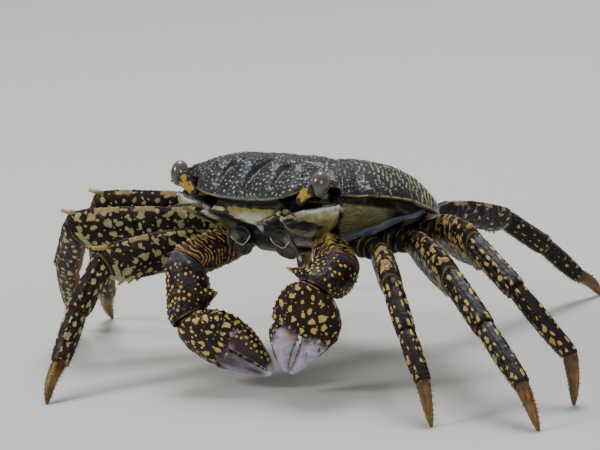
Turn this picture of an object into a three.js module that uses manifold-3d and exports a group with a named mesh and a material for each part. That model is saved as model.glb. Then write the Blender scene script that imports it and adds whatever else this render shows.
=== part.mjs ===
// Shore crab, life size, standing on eight legs with both claws held low in front.
// Millimetres, +Z up. The crab faces -Y and its left side is toward +X.
import * as THREE from "three";
import { mergeVertices } from "three/addons/utils/BufferGeometryUtils.js";
import Module from "manifold-3d";

const wasm = await Module();
wasm.setup();

// ---------------------------------------------------------------- driving dimensions
// The body is laid out level in its own frame, its origin at the middle of the shell at the
// height of the side margins, then tipped nose up and lifted on the legs.
const BODY = { height: 41, yaw: -1, pitch: -16.5, roll: 1 };
const GAP = 0.34; // clearance kept between neighbouring pieces
const FLOOR = 0;

// Shell outline, right half from the middle of the front round to the middle of the rear:
// x, y and the height of the edge.
const SHELL_OUTLINE = [
  [0, -26.6, -3.8], [7, -26.8, -3.4], [12.6, -25.8, -2.1], [14.6, -23.4, -0.7],
  [17.6, -19.6, 1.2], [21.4, -17.8, 1.1], [24.2, -20.2, 0.1], [25.6, -16.2, -0.8],
  [27.5, -13.4, -1.1], [28.6, -8.4, -0.9], [29.9, -1, -0.5], [29.7, 5, -1.0],
  [28.4, 12.6, -2.0], [23.0, 20.4, -2.9], [14.0, 25.4, -4.2], [0, 27.4, -4.9],
];
const SHELL = { crown: 8.0, fullnessFront: 2.8, fullnessRear: 4.6, shoulder: 0.72, edgePull: 4, under: 1.0, around: 36, rings: 12 };
const TRUNK = {
  inset: 0.925, around: 30, rings: 14,
  // how far in (share of the outline) and how far down (share of the depth) the wall goes
  wall: [[1.0, 0.0], [0.96, 0.14], [0.87, 0.34], [0.76, 0.52], [0.64, 0.7], [0.49, 0.86], [0.3, 0.95], [0, 1.0]],
  // the face is steeper and reaches lower than the flanks
  face: [[1.0, 0.0], [0.875, 0.13], [0.85, 0.37], [0.7, 0.49], [0.645, 0.67], [0.54, 0.86], [0.33, 0.97], [0, 1.0]],
  faceHalfWidth: 15, faceFrom: -12, faceDrop: 2.2,
  depthFront: 13.2, depthMiddle: 12.8, depthRear: 5.4,
  orbitFill: 3.0,
};
const FLAP = {
  width: [6.4, 7.3, 7.6, 7.3, 6.6, 5.7, 4.8, 3.9, 2.2],
  y: [20.5, 17.5, 14, 10.5, 7, 4, 1.5, -0.5, -2.0], thick: 1.0,
};

// Each walking leg: where the base leaves the trunk and where the long segment starts (body
// frame, left side), the four segment lengths, the heading of the long segment (degrees from
// sideways toward the rear), the slopes of the first three segments, how far the last three
// swing off that heading, and the roll of the long segment's flat side.
const LEG_BASE = {
  2: { hip: [14.6, -1.2, -10.6], start: [22, 0, -12.5] },
  3: { hip: [16.8, 6.6, -9.4], start: [25, 8.5, -9.5] },
  4: { hip: [16.6, 14.4, -8.8], start: [25, 18.5, -6.2] },
  5: { hip: [12.2, 21.2, -8.8], start: [20.0, 29.0, -0.8] },
};
const LEG_LENGTH = { 2: [31, 13.5, 13.5, 10], 3: [39, 17, 18.5, 11], 4: [39, 17, 19.4, 11], 5: [23.5, 14, 13.5, 9] };
const LEG_SIZE = { // half widths of the four segments and half thicknesses
  2: { wide: [5.3, 3.1, 2.75, 1.75], thick: [2.7, 2.3, 2.1, 1.4], base: 2.6 },
  3: { wide: [5.8, 3.4, 2.9, 1.9], thick: [2.8, 2.5, 2.2, 1.5], base: 2.8 },
  4: { wide: [5.6, 3.2, 2.7, 1.9], thick: [2.7, 2.4, 2.1, 1.5], base: 2.7 },
  5: { wide: [3.5, 2.5, 2.2, 1.7], thick: [2.2, 2.0, 1.8, 1.3], base: 2.2 },
};
const LEG_POSE = {
  left: {
    2: { heading: -52, slope: [-3, -40, -42], swing: [9, 12, 12], roll: 10 },
    3: { heading: -44, slope: [-2, -30, -33], swing: [13, 14, 14], roll: 12 },
    4: { heading: -44, slope: [5.5, -28, -45], swing: [20, 38, 70], roll: 12 },
    5: { heading: 84, slope: [-19, -38, -43], swing: [-15, -10, -10], roll: 35 },
  },
  right: {
    2: { heading: -52, slope: [-4, -41, -50], swing: [-34, -38, -38], roll: 12 },
    3: { heading: -33, slope: [3, -42, -42], swing: [72, 88, 88], roll: 12 },
    4: { heading: -30, slope: [6, -46, -45], swing: [73, 87, 87], roll: 14 },
    5: { heading: 50, slope: [-4, -52, -68], swing: [4, 0, 0], roll: 30 },
  },
};
// Segment outlines along their length: place, half width, half thickness (shares of the sizes).
const THIGH_BASE = [[0, 1.0, 1.0], [0.5, 1.08, 1.04]];
const THIGH = [[0, 0.46, 0.85], [0.13, 0.66, 0.95], [0.32, 0.9, 1.0], [0.56, 1.0, 1.0], [0.8, 0.98, 0.98], [0.93, 0.86, 0.94], [1, 0.56, 0.86]];
const WRIST_SEGMENT = [[0, 0.84, 0.88], [0.2, 0.86, 0.92], [0.5, 1.0, 1.0], [0.78, 1.02, 1.0], [0.92, 0.96, 0.96], [1, 0.84, 0.86]];
const SHIN = [[0, 0.78, 0.8], [0.16, 0.98, 0.96], [0.45, 1.0, 1.0], [0.75, 0.93, 0.95], [0.92, 0.86, 0.9], [1, 0.76, 0.8]];
const TOE = [[0, 0.84, 0.86], [0.14, 1.0, 1.0], [0.45, 0.84, 0.84], [0.75, 0.6, 0.62], [1, 0.38, 0.5]];
const TOE_ARCH = 0.55;
const THIGH_SPINE = 1.36;
const THIGH_LOBE = 1.16;
const SIDES = { thigh: 10, wrist: 8, shin: 8, toe: 8, claw: 12, palm: 14, thumb: 10 };

// Claw arms: hip in the body frame; the other joints stand in the lifted frame.
const CLAW = {
  left: {
    hip: [10.6, -5.6, -11.4],
    elbow: [22, -21.5, 29], wrist: [22.2, -30.8, 25.9], tip: [11.1, -28.9, 5.3],
    thumbSide: [-0.8, -0.46, 0.38], spineAt: 30,
  },
  right: {
    hip: [-10.6, -5.6, -11.4],
    elbow: [-18.2, -25.1, 28.7], wrist: [-15.3, -30.4, 16.7], tip: [4.0, -26.5, 4.1],
    thumbSide: [0.64, -0.3, 0.7], spineAt: -60,
  },
};
const CLAW_SIZE = {
  arm: { wide: 5.0, thick: 4.0 },
  cuff: { wide: 5.4, thick: 4.9, spine: 1.75 },
  palm: { high: 8.0, thick: 4.4 },
};
const ARM = [[0, 0.5, 0.6], [0.25, 0.78, 0.85], [0.6, 0.98, 1.0], [0.86, 1.0, 1.0], [1, 0.84, 0.9]];
const CUFF = [[0, 0.74, 0.8], [0.22, 0.98, 1.0], [0.5, 1.0, 1.0], [0.78, 0.96, 0.98], [1, 0.7, 0.76]];
// Palm and fixed finger: place, lower edge, upper edge, half thickness (shares of the height/2).
const PALM = [
  [0, -0.5, 0.5, 0.62], [0.1, -0.78, 0.8, 0.86], [0.26, -0.96, 1.0, 1.0], [0.42, -0.97, 1.04, 1.0],
  [0.505, -0.88, 0.98, 0.95], [0.535, -0.84, -0.02, 0.86], [0.68, -0.64, -0.1, 0.62],
  [0.84, -0.42, -0.08, 0.42], [0.94, -0.26, -0.02, 0.3], [1, -0.13, 0.03, 0.15],
];
const THUMB = [
  [0.552, 0.1, 0.9, 0.7], [0.6, 0.13, 0.96, 0.72], [0.72, 0.17, 0.84, 0.6],
  [0.85, 0.15, 0.62, 0.44], [0.95, 0.1, 0.38, 0.3], [1, 0.08, 0.24, 0.15],
];

// Eyes and mouthparts in the body frame, left side.
const EYE = {
  stalkStart: [14.9, -24.0, -3.4], stalkEnd: [18.1, -24.9, -0.1], stalkRadius: [1.35, 1.95],
  centre: [20.0, -23.6, 1.9], half: [1.95, 2.0, 2.75],
};
const FEELER = { start: [11.6, -24.9, -5.8], end: [18.0, -28.8, -7.0], radius: [0.7, 0.32] };
const MOUTH_PLATE = { top: [5.6, -18.5, -10.6], foot: [5.6, -14.6, -15.4], wide: 3.2, thick: 0.7 };

const COLOUR = {
  shell: "#2b2d33", trunk: "#6d6a4c", flap: "#8d8560", leg: "#271a1f", toe: "#a5681f",
  claw: "#2a191f", finger: "#b9adc0", eye: "#4a4138", stalk: "#8a7a3c", mouth: "#8c8a6a", feeler: "#4a4032",
};
const FINISH = { roughness: 0.32, metalness: 0.0 };

// ---------------------------------------------------------------- small helpers
const V = (p) => new THREE.Vector3(...p);
const rad = THREE.MathUtils.degToRad;
const crab = new THREE.Group();

const tilt = new THREE.Matrix4()
  .makeRotationZ(rad(BODY.yaw))
  .multiply(new THREE.Matrix4().makeRotationX(rad(BODY.pitch)))
  .multiply(new THREE.Matrix4().makeRotationY(rad(BODY.roll)));
const lift = new THREE.Matrix4().makeTranslation(0, 0, BODY.height).multiply(tilt);
const onBody = (p) => V(p).applyMatrix4(lift);
const mirrored = (p, side) => [p[0] * side, p[1], p[2]];

// Linear look-up in a table whose first column rises.
function lookUp(table, at, column) {
  for (let i = 1; i < table.length; i += 1) {
    if (at <= table[i][0] || i === table.length - 1) {
      const share = (at - table[i - 1][0]) / (table[i][0] - table[i - 1][0]);
      return THREE.MathUtils.lerp(table[i - 1][column], table[i][column], THREE.MathUtils.clamp(share, 0, 1));
    }
  }
  return table[0][column];
}

// Keeps positions only, shares the seam vertices and turns the faces outward.
function closed(geometry) {
  geometry.deleteAttribute("normal");
  geometry.deleteAttribute("uv");
  const merged = mergeVertices(geometry, 1e-4);
  const index = merged.getIndex();
  const kept = [];
  for (let i = 0; i < index.count; i += 3) {
    const [a, b, c] = [index.getX(i), index.getX(i + 1), index.getX(i + 2)];
    if (a !== b && b !== c && c !== a) kept.push(a, b, c);
  }
  merged.setIndex(kept);
  if (volumeOf(merged) < 0) {
    for (let i = 0; i < kept.length; i += 3) [kept[i + 1], kept[i + 2]] = [kept[i + 2], kept[i + 1]];
    merged.setIndex(kept);
  }
  return merged;
}

function volumeOf(geometry) {
  const position = geometry.getAttribute("position");
  const index = geometry.getIndex();
  const [a, b, c] = [new THREE.Vector3(), new THREE.Vector3(), new THREE.Vector3()];
  let sum = 0;
  for (let i = 0; i < index.count; i += 3) {
    a.fromBufferAttribute(position, index.getX(i));
    b.fromBufferAttribute(position, index.getX(i + 1));
    c.fromBufferAttribute(position, index.getX(i + 2));
    sum += a.dot(b.cross(c));
  }
  return sum / 6;
}

function solid(geometry) {
  const index = geometry.getIndex();
  return new wasm.Manifold(new wasm.Mesh({
    numProp: 3,
    vertProperties: new Float32Array(geometry.getAttribute("position").array),
    triVerts: new Uint32Array(index.array),
  }));
}

function fromSolid(body) {
  const mesh = body.getMesh();
  const geometry = new THREE.BufferGeometry();
  geometry.setAttribute("position", new THREE.BufferAttribute(new Float32Array(mesh.vertProperties), 3));
  geometry.setIndex(Array.from(mesh.triVerts));
  return geometry;
}

// Keeps the side of the plane that its normal points to.
function trimmed(geometry, plane, keep) {
  if (!plane) return geometry;
  const normal = plane.normal.clone().multiplyScalar(keep);
  const distance = normal.dot(plane.at) + keep * plane.offset;
  return fromSolid(solid(geometry).trimByPlane(normal.toArray(), distance));
}

function add(name, geometry, colour) {
  geometry.computeVertexNormals();
  const material = new THREE.MeshStandardMaterial({ color: colour, ...FINISH });
  const mesh = new THREE.Mesh(geometry, material);
  mesh.name = name;
  crab.add(mesh);
  return mesh;
}

// A closed tube: each ring is a function of the angle, the two ends are flat.
function tube(rings, sides) {
  const geometry = new THREE.CylinderGeometry(1, 1, 1, sides, rings.length - 1);
  const position = geometry.getAttribute("position");
  for (let i = 0; i < position.count; i += 1) {
    const [x, y, z] = [position.getX(i), position.getY(i), position.getZ(i)];
    const ring = rings[Math.round((0.5 - y) * (rings.length - 1))];
    const reach = Math.hypot(x, z) > 0.5 ? 1 : 0;
    const point = ring(reach === 0 ? 0 : Math.atan2(x, z), reach);
    position.setXYZ(i, point.x, point.y, point.z);
  }
  return closed(geometry);
}

// A ring on a segment: centre, the direction of the segment, its upper side, its half sizes,
// an optional cutting plane, and an optional spine or lobe (angle in eighths of a turn, stretch).
function ringAt(centre, frame, wide, thick, plane, bumps = []) {
  return (angle, reach) => {
    let stretch = 1;
    for (const [where, how] of bumps) {
      const off = Math.atan2(Math.sin(angle - where), Math.cos(angle - where));
      if (Math.abs(off) < 0.2) stretch = how;
    }
    const point = centre.clone()
      .addScaledVector(frame.up, Math.cos(angle) * wide * reach * stretch)
      .addScaledVector(frame.side, Math.sin(angle) * thick * reach);
    if (plane) {
      const away = (plane.offset - point.clone().sub(plane.at).dot(plane.normal)) / frame.axis.dot(plane.normal);
      point.addScaledVector(frame.axis, away);
    }
    return point;
  };
}

// Frames along a chain of joints. The frame of one segment is given, the others follow it
// through each bend without twisting.
function framesAlong(joints, known, up) {
  const axes = [];
  for (let i = 1; i < joints.length; i += 1) axes.push(joints[i].clone().sub(joints[i - 1]).normalize());
  const ups = new Array(axes.length);
  ups[known] = up.clone().addScaledVector(axes[known], -up.dot(axes[known])).normalize();
  const turn = new THREE.Quaternion();
  for (let i = known + 1; i < axes.length; i += 1) {
    ups[i] = ups[i - 1].clone().applyQuaternion(turn.setFromUnitVectors(axes[i - 1], axes[i]));
  }
  for (let i = known - 1; i >= 0; i -= 1) {
    ups[i] = ups[i + 1].clone().applyQuaternion(turn.setFromUnitVectors(axes[i + 1], axes[i]));
  }
  return axes.map((axis, i) => ({ axis, up: ups[i], side: axis.clone().cross(ups[i]) }));
}

// The plane that parts two segments at a joint, moved off it by half the clearance.
function partingPlane(joints, frames, joint, toward) {
  const normal = frames[joint - 1].axis.clone().add(frames[joint].axis).normalize();
  return { at: joints[joint], normal, offset: (toward * GAP) / 2 };
}

// ---------------------------------------------------------------- shell and trunk
// Angle -> point on the outline: the half outline is walked by its share of the list.
function outlineAt(angle) {
  const turn = Math.atan2(Math.sin(angle), Math.cos(angle)); // 0 = front middle, +-pi = rear middle
  const place = (Math.abs(turn) / Math.PI) * (SHELL_OUTLINE.length - 1);
  const i = Math.min(Math.floor(place), SHELL_OUTLINE.length - 2);
  const share = place - i;
  const point = SHELL_OUTLINE[i].map((value, k) => THREE.MathUtils.lerp(value, SHELL_OUTLINE[i + 1][k], share));
  return [point[0] * Math.sign(turn || 1), point[1], point[2]];
}
const shellTop = (reach, edge, rearward) => {
  const fullness = THREE.MathUtils.lerp(SHELL.fullnessFront, SHELL.fullnessRear, rearward);
  return SHELL.crown * (1 - reach ** fullness) ** SHELL.shoulder + edge * reach ** SHELL.edgePull;
};
const shellUnder = (reach, edge) => edge * reach ** 2 - SHELL.under * (1 - reach ** 6);

// A sphere whose equator becomes an outline: place(angle, reach, above) gives the point.
function domed(around, rings, place) {
  const geometry = new THREE.SphereGeometry(1, around, rings);
  const position = geometry.getAttribute("position");
  for (let i = 0; i < position.count; i += 1) {
    const [x, y, z] = [position.getX(i), position.getY(i), position.getZ(i)];
    const polar = Math.acos(THREE.MathUtils.clamp(y, -1, 1));
    const point = place(Math.hypot(x, z) < 1e-6 ? 0 : Math.atan2(x, z), Math.sin(polar), polar / Math.PI);
    position.setXYZ(i, point.x, point.y, point.z);
  }
  return closed(geometry);
}

function shell() {
  const geometry = domed(SHELL.around, SHELL.rings, (angle, reach, turn) => {
    const [x, y, edge] = outlineAt(angle);
    const share = reach ** 0.85;
    const z = turn <= 0.5 + 1e-6 ? shellTop(share, edge, (y / SHELL_OUTLINE[0][1] - 1) / -2) : shellUnder(share, edge);
    return new THREE.Vector3(x * share, y * share, z).applyMatrix4(lift);
  });
  let body = solid(geometry);
  for (const notch of notches) body = body.subtract(solid(notch));
  add("carapace", fromSolid(body), COLOUR.shell);
}

function trunkDepth(y) {
  if (y < 0) return THREE.MathUtils.lerp(TRUNK.depthMiddle, TRUNK.depthFront, Math.min(-y / 20, 1));
  return THREE.MathUtils.lerp(TRUNK.depthMiddle, TRUNK.depthRear, Math.min(y / 24, 1) ** 1.2);
}
function trunkPoint(angle, reach, turn) {
  const [x, notchedY, edge] = outlineAt(angle);
  const y = notchedY - TRUNK.orbitFill * Math.max(0, 1 - Math.abs(Math.abs(x) - 19.6) / 4.6);
  if (turn <= 0.5 + 1e-6) {
    const share = reach * TRUNK.inset;
    return [x * share, y * share, shellUnder(share, edge) - GAP];
  }
  const down = (turn - 0.5) * 2 * (TRUNK.wall.length - 1);
  const i = Math.min(Math.floor(down), TRUNK.wall.length - 2);
  const facing = y < 0 ? THREE.MathUtils.smoothstep(1 - Math.abs(x) / TRUNK.faceHalfWidth, 0, 0.6) : 0;
  const column = (k) => THREE.MathUtils.lerp(
    THREE.MathUtils.lerp(TRUNK.wall[i][k], TRUNK.face[i][k], facing),
    THREE.MathUtils.lerp(TRUNK.wall[i + 1][k], TRUNK.face[i + 1][k], facing), down - i);
  const share = column(0) * TRUNK.inset;
  const deep = column(1);
  const rim = shellUnder(TRUNK.inset, edge) - GAP;
  const jaw = TRUNK.faceDrop * facing * THREE.MathUtils.smoothstep(y * share / TRUNK.faceFrom, 0.25, 1);
  return [x * share, y * share, THREE.MathUtils.lerp(rim, 0, deep) - trunkDepth(y * share) * deep - (0.6 + jaw) * deep];
}

function trunk(sockets) {
  const geometry = domed(TRUNK.around, TRUNK.rings, (angle, reach, turn) =>
    new THREE.Vector3(...trunkPoint(angle, reach, turn)).applyMatrix4(lift));
  let body = solid(geometry);
  for (const socket of sockets) body = body.subtract(solid(socket));
  add("trunk", fromSolid(body), COLOUR.trunk);
}

const KEEL_STEPS = 400;
// Height of the underside of the trunk in the body frame, along the middle.
function keel(y) {
  let best = 0;
  for (let k = 1; k <= KEEL_STEPS; k += 1) {
    const p = trunkPoint(y < 0 ? 0 : Math.PI, 0, 0.5 + (k / KEEL_STEPS) * 0.5);
    if (Math.abs(p[1] - y) < Math.abs(best.y - y) || best === 0) best = { y: p[1], z: p[2] };
  }
  return best.z;
}

// The folded tail: a tapering plate under the trunk.
function flap() {
  const rings = FLAP.y.map((y, i) => {
    const z = keel(y) - GAP - FLAP.thick / 2 - 0.25;
    return (angle, reach) => new THREE.Vector3(
      Math.cos(angle) * FLAP.width[i] * reach, y,
      z + Math.sin(angle) * (FLAP.thick / 2) * reach,
    ).applyMatrix4(lift);
  });
  add("abdomen_flap", tube(rings, 10), COLOUR.flap);
}

// ---------------------------------------------------------------- walking legs
const sockets = [];
const notches = [];

function socketFor(hip, along, radius, flare = 0.25) {
  const deep = 3;
  const start = hip.clone().addScaledVector(along, -GAP);
  const frame = framesAlong([start, start.clone().add(along)], 0, new THREE.Vector3(0.3, 0.2, 1))[0];
  const rings = [0, 1].map((end) =>
    ringAt(start.clone().addScaledVector(along, end * deep * 2.4), frame, radius + GAP + end * flare, radius + GAP + end * flare));
  return tube(rings, 12);
}

function legJoints(number, side, pose) {
  const base = LEG_BASE[number];
  const joints = [onBody(mirrored(base.hip, side)), onBody(mirrored(base.start, side))];
  for (let k = 0; k < 4; k += 1) {
    const from = joints[joints.length - 1];
    const length = LEG_LENGTH[number][k];
    const heading = rad(pose.heading + (k > 0 ? pose.swing[k - 1] : 0));
    const slope = k < 3 ? rad(pose.slope[k]) : -Math.asin(Math.min((from.z - FLOOR) / length, 1));
    joints.push(from.clone().add(new THREE.Vector3(
      side * Math.cos(heading) * Math.cos(slope) * length,
      Math.sin(heading) * Math.cos(slope) * length,
      Math.sin(slope) * length,
    )));
  }
  return joints;
}

function rolledUp(joints, section, degrees, side) {
  const axis = joints[section + 1].clone().sub(joints[section]).normalize();
  const up = new THREE.Vector3(0, 0, 1);
  up.addScaledVector(axis, -up.dot(axis)).normalize();
  return up.applyAxisAngle(axis, rad(degrees) * side);
}

function segmentRings(joints, frames, section, outline, wide, thick, startPlane, endPlane, extra = {}) {
  const length = joints[section + 1].distanceTo(joints[section]);
  return outline.map(([place, w, t], i) => {
    const centre = joints[section].clone().addScaledVector(frames[section].axis, place * length);
    if (extra.arch) centre.addScaledVector(frames[section].up, extra.arch * Math.sin(Math.PI * place));
    const plane = i === 0 ? startPlane : i === outline.length - 1 ? endPlane : undefined;
    const bumps = extra.bumps && extra.bumps[i] ? extra.bumps[i] : [];
    return ringAt(centre, frames[section], wide * w, thick * t, plane, bumps);
  });
}

function walkingLeg(number, sideName) {
  const side = sideName === "left" ? 1 : -1;
  const pose = LEG_POSE[sideName][number];
  const size = LEG_SIZE[number];
  const joints = legJoints(number, side, pose);
  const frames = framesAlong(joints, 1, rolledUp(joints, 1, pose.roll, side));
  const label = `leg_${number}_${sideName}`;
  sockets.push(socketFor(joints[0], frames[0].axis, size.base * 1.04));
  const bend = partingPlane(joints, frames, 1, 0);
  const thigh = [
    ...segmentRings(joints, frames, 0, THIGH_BASE, size.base, size.base, undefined, undefined),
    ...segmentRings(joints, frames, 1, THIGH, size.wide[0], size.thick[0], bend, partingPlane(joints, frames, 2, -1), {
      bumps: { 5: [[0, THIGH_SPINE], [Math.PI, THIGH_LOBE]] },
    }),
  ];
  if (number === 5) {
    // The last leg rises past the rear corner of the shell, whose edge is hollowed over it.
    const wider = size.base + GAP;
    notches.push(tube([
      ...segmentRings(joints, frames, 0, THIGH_BASE, wider, wider, undefined, undefined),
      ...segmentRings(joints, frames, 1, THIGH, size.wide[0] + GAP * 2, size.thick[0] + GAP * 2, bend, undefined),
    ], SIDES.thigh));
  }
  add(`${label}_merus`, trimmed(tube(thigh, SIDES.thigh), partingPlane(joints, frames, 2, -1), -1), COLOUR.leg);
  const rest = [
    ["carpus", 2, WRIST_SEGMENT, SIDES.wrist, COLOUR.leg, {}],
    ["propodus", 3, SHIN, SIDES.shin, COLOUR.leg, {}],
    ["dactylus", 4, TOE, SIDES.toe, COLOUR.toe, { arch: TOE_ARCH }],
  ];
  for (const [word, section, outline, sides, colour, extra] of rest) {
    const end = section === 4
      ? { at: new THREE.Vector3(0, 0, FLOOR), normal: new THREE.Vector3(0, 0, -1), offset: 0 }
      : partingPlane(joints, frames, section + 1, -1);
    const start = partingPlane(joints, frames, section, 1);
    const rings = segmentRings(joints, frames, section, outline, size.wide[section - 1], size.thick[section - 1], start, end, extra);
    add(`${label}_${word}`, trimmed(trimmed(tube(rings, sides), start, 1), section === 4 ? undefined : end, -1), colour);
  }
}

// ---------------------------------------------------------------- claws
function clawRing(joints, frame, length, row, plane) {
  const [place, low, high, thick] = row;
  const half = CLAW_SIZE.palm.high;
  const centre = joints[2].clone()
    .addScaledVector(frame.axis, place * length)
    .addScaledVector(frame.up, ((low + high) / 2) * half);
  return ringAt(centre, frame, ((high - low) / 2) * half, thick * CLAW_SIZE.palm.thick, plane);
}

function claw(sideName) {
  const spec = CLAW[sideName];
  const joints = [onBody(spec.hip), V(spec.elbow), V(spec.wrist), V(spec.tip)];
  const frames = framesAlong(joints, 2, V(spec.thumbSide));
  const label = `claw_${sideName}`;
  sockets.push(socketFor(joints[0], frames[0].axis, CLAW_SIZE.arm.wide * 0.56, 2.2));
  const arm = segmentRings(joints, frames, 0, ARM, CLAW_SIZE.arm.wide, CLAW_SIZE.arm.thick, undefined, partingPlane(joints, frames, 1, -1));
  add(`${label}_merus`, trimmed(tube(arm, SIDES.claw), partingPlane(joints, frames, 1, -1), -1), COLOUR.claw);
  const cuff = segmentRings(joints, frames, 1, CUFF, CLAW_SIZE.cuff.wide, CLAW_SIZE.cuff.thick,
    partingPlane(joints, frames, 1, 1), partingPlane(joints, frames, 2, -1), { bumps: { 3: [[rad(spec.spineAt), CLAW_SIZE.cuff.spine]] } });
  const cuffBody = trimmed(tube(cuff, SIDES.claw), partingPlane(joints, frames, 1, 1), 1);
  add(`${label}_carpus`, trimmed(cuffBody, partingPlane(joints, frames, 2, -1), -1), COLOUR.claw);
  const length = joints[3].distanceTo(joints[2]);
  const palm = PALM.map((row, i) => clawRing(joints, frames[2], length, row, i === 0 ? partingPlane(joints, frames, 2, 1) : undefined));
  add(`${label}_palm`, trimmed(tube(palm, SIDES.palm), partingPlane(joints, frames, 2, 1), 1), COLOUR.claw);
  const thumb = THUMB.map((row) => clawRing(joints, frames[2], length, row));
  add(`${label}_finger`, tube(thumb, SIDES.thumb), COLOUR.finger);
}

// ---------------------------------------------------------------- eyes and mouth
function spindle(from, to, radii, sides) {
  const frame = framesAlong([from, to], 0, new THREE.Vector3(0.1, 0.2, 1))[0];
  const rings = radii.map((radius, i) =>
    ringAt(from.clone().lerp(to, i / (radii.length - 1)), frame, radius, radius));
  return tube(rings, sides);
}

function face(side, sideName) {
  const stalk = spindle(
    onBody(mirrored(EYE.stalkStart, side)), onBody(mirrored(EYE.stalkEnd, side)),
    [EYE.stalkRadius[0], EYE.stalkRadius[0], EYE.stalkRadius[1], EYE.stalkRadius[1] * 0.8], 10,
  );
  add(`eyestalk_${sideName}`, stalk, COLOUR.stalk);
  const eye = closed(new THREE.SphereGeometry(1, 14, 10)
    .rotateX(Math.PI / 2)
    .scale(...EYE.half)
    .translate(...mirrored(EYE.centre, side)));
  eye.applyMatrix4(lift);
  add(`eye_${sideName}`, eye, COLOUR.eye);
  add(`antenna_${sideName}`, spindle(
    onBody(mirrored(FEELER.start, side)), onBody(mirrored(FEELER.end, side)),
    [FEELER.radius[0], FEELER.radius[0] * 0.8, FEELER.radius[1]], 8,
  ), COLOUR.feeler);
  const top = onBody(mirrored(MOUTH_PLATE.top, side));
  const foot = onBody(mirrored(MOUTH_PLATE.foot, side));
  const frame = framesAlong([top, foot], 0, onBody([1, 0, 0]).sub(onBody([0, 0, 0])))[0];
  const outline = [0.55, 0.86, 1, 1, 0.82, 0.5];
  const rings = outline.map((share, i) => ringAt(
    top.clone().lerp(foot, i / (outline.length - 1)), frame, MOUTH_PLATE.wide * share, MOUTH_PLATE.thick,
  ));
  add(`maxilliped_${sideName}`, tube(rings, 10), COLOUR.mouth);
}

// ---------------------------------------------------------------- assembly
for (const sideName of ["left", "right"]) {
  claw(sideName);
  for (const number of [2, 3, 4, 5]) walkingLeg(number, sideName);
  face(sideName === "left" ? 1 : -1, sideName);
}
flap();
shell();
trunk(sockets);

// The frame's origin is on the floor under the middle of the bounding box.
const bounds = new THREE.Box3().setFromObject(crab);
const middle = bounds.getCenter(new THREE.Vector3());
for (const mesh of crab.children) mesh.geometry.translate(-middle.x, -middle.y, -bounds.min.z);

export default crab;
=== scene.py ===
"""A life-size shore crab, built round its measured frame.

The tables below are in millimetres and degrees. A point given in the body frame lies level, with
its origin in the middle of the shell at the height of the side margins. The body is then tipped
nose up and lifted on the legs. The crab faces -Y and its left side is toward +X.
"""
import itertools
import math

import bpy
import numpy as np
from bpy.props import FloatProperty, FloatVectorProperty, PointerProperty
from mathutils import Matrix, Vector


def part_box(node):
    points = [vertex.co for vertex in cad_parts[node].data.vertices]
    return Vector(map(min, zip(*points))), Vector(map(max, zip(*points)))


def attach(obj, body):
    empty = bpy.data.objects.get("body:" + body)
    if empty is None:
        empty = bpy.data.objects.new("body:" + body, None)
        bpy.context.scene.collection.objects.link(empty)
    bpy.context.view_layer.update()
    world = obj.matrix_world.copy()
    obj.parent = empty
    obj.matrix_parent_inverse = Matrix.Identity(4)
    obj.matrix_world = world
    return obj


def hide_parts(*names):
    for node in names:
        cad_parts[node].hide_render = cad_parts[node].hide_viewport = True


bl_info = {
    "name": "Shore Crab",
    "version": (1, 0, 0),
    "blender": (4, 5, 0),
    "location": "3D View > Sidebar > Shore crab",
    "description": "Builds a life-size shore crab round its measured frame",
    "category": "Add Mesh",
}

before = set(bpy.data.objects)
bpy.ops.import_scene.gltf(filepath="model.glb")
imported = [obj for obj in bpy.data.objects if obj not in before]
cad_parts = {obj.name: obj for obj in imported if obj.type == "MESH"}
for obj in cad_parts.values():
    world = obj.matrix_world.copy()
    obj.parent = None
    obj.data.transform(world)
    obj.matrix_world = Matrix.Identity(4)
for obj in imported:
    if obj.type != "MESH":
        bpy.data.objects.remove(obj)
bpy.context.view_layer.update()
MM = 0.001
SIDES = {"left": 1, "right": -1}
SEAM_GAP = 2e-6  # metres between points that are merged
BAKE_CUBE = 0.002  # metres of a spike's surface on the whole of its bake map

# ---------------------------------------------------------------- driving dimensions
BODY = {"height": 41, "yaw": -1, "pitch": -16.5, "roll": 1}
GAP = 0.34  # clearance between segments, and between the shell and what lies under it
SHELL_OUTLINE = [
    (0, -26.6, -3.8), (7, -26.8, -3.4), (12.6, -25.8, -2.1), (14.6, -23.4, -0.7),
    (17.6, -19.6, 1.2), (21.4, -17.8, 1.1), (24.2, -20.2, -0.7), (25.6, -16.2, -0.6),
    (27.5, -13.4, -0.1), (28.6, -8.4, 0.0), (29.9, -1, -0.1), (29.7, 5, -1.0),
    (28.4, 12.6, -2.0), (23.0, 20.4, -2.9), (14.0, 25.4, -4.2), (0, 27.4, -4.9),
]
SHELL = {"crown": 8.0, "front": 2.8, "rear": 4.6, "shoulder": 0.72, "pull": 4, "under": 1.0}
TRUNK = {"inset": 0.925, "front": 13.2, "middle": 12.8, "rear": 5.4, "orbit": 3.0, "jaw": 2.2}
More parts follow.
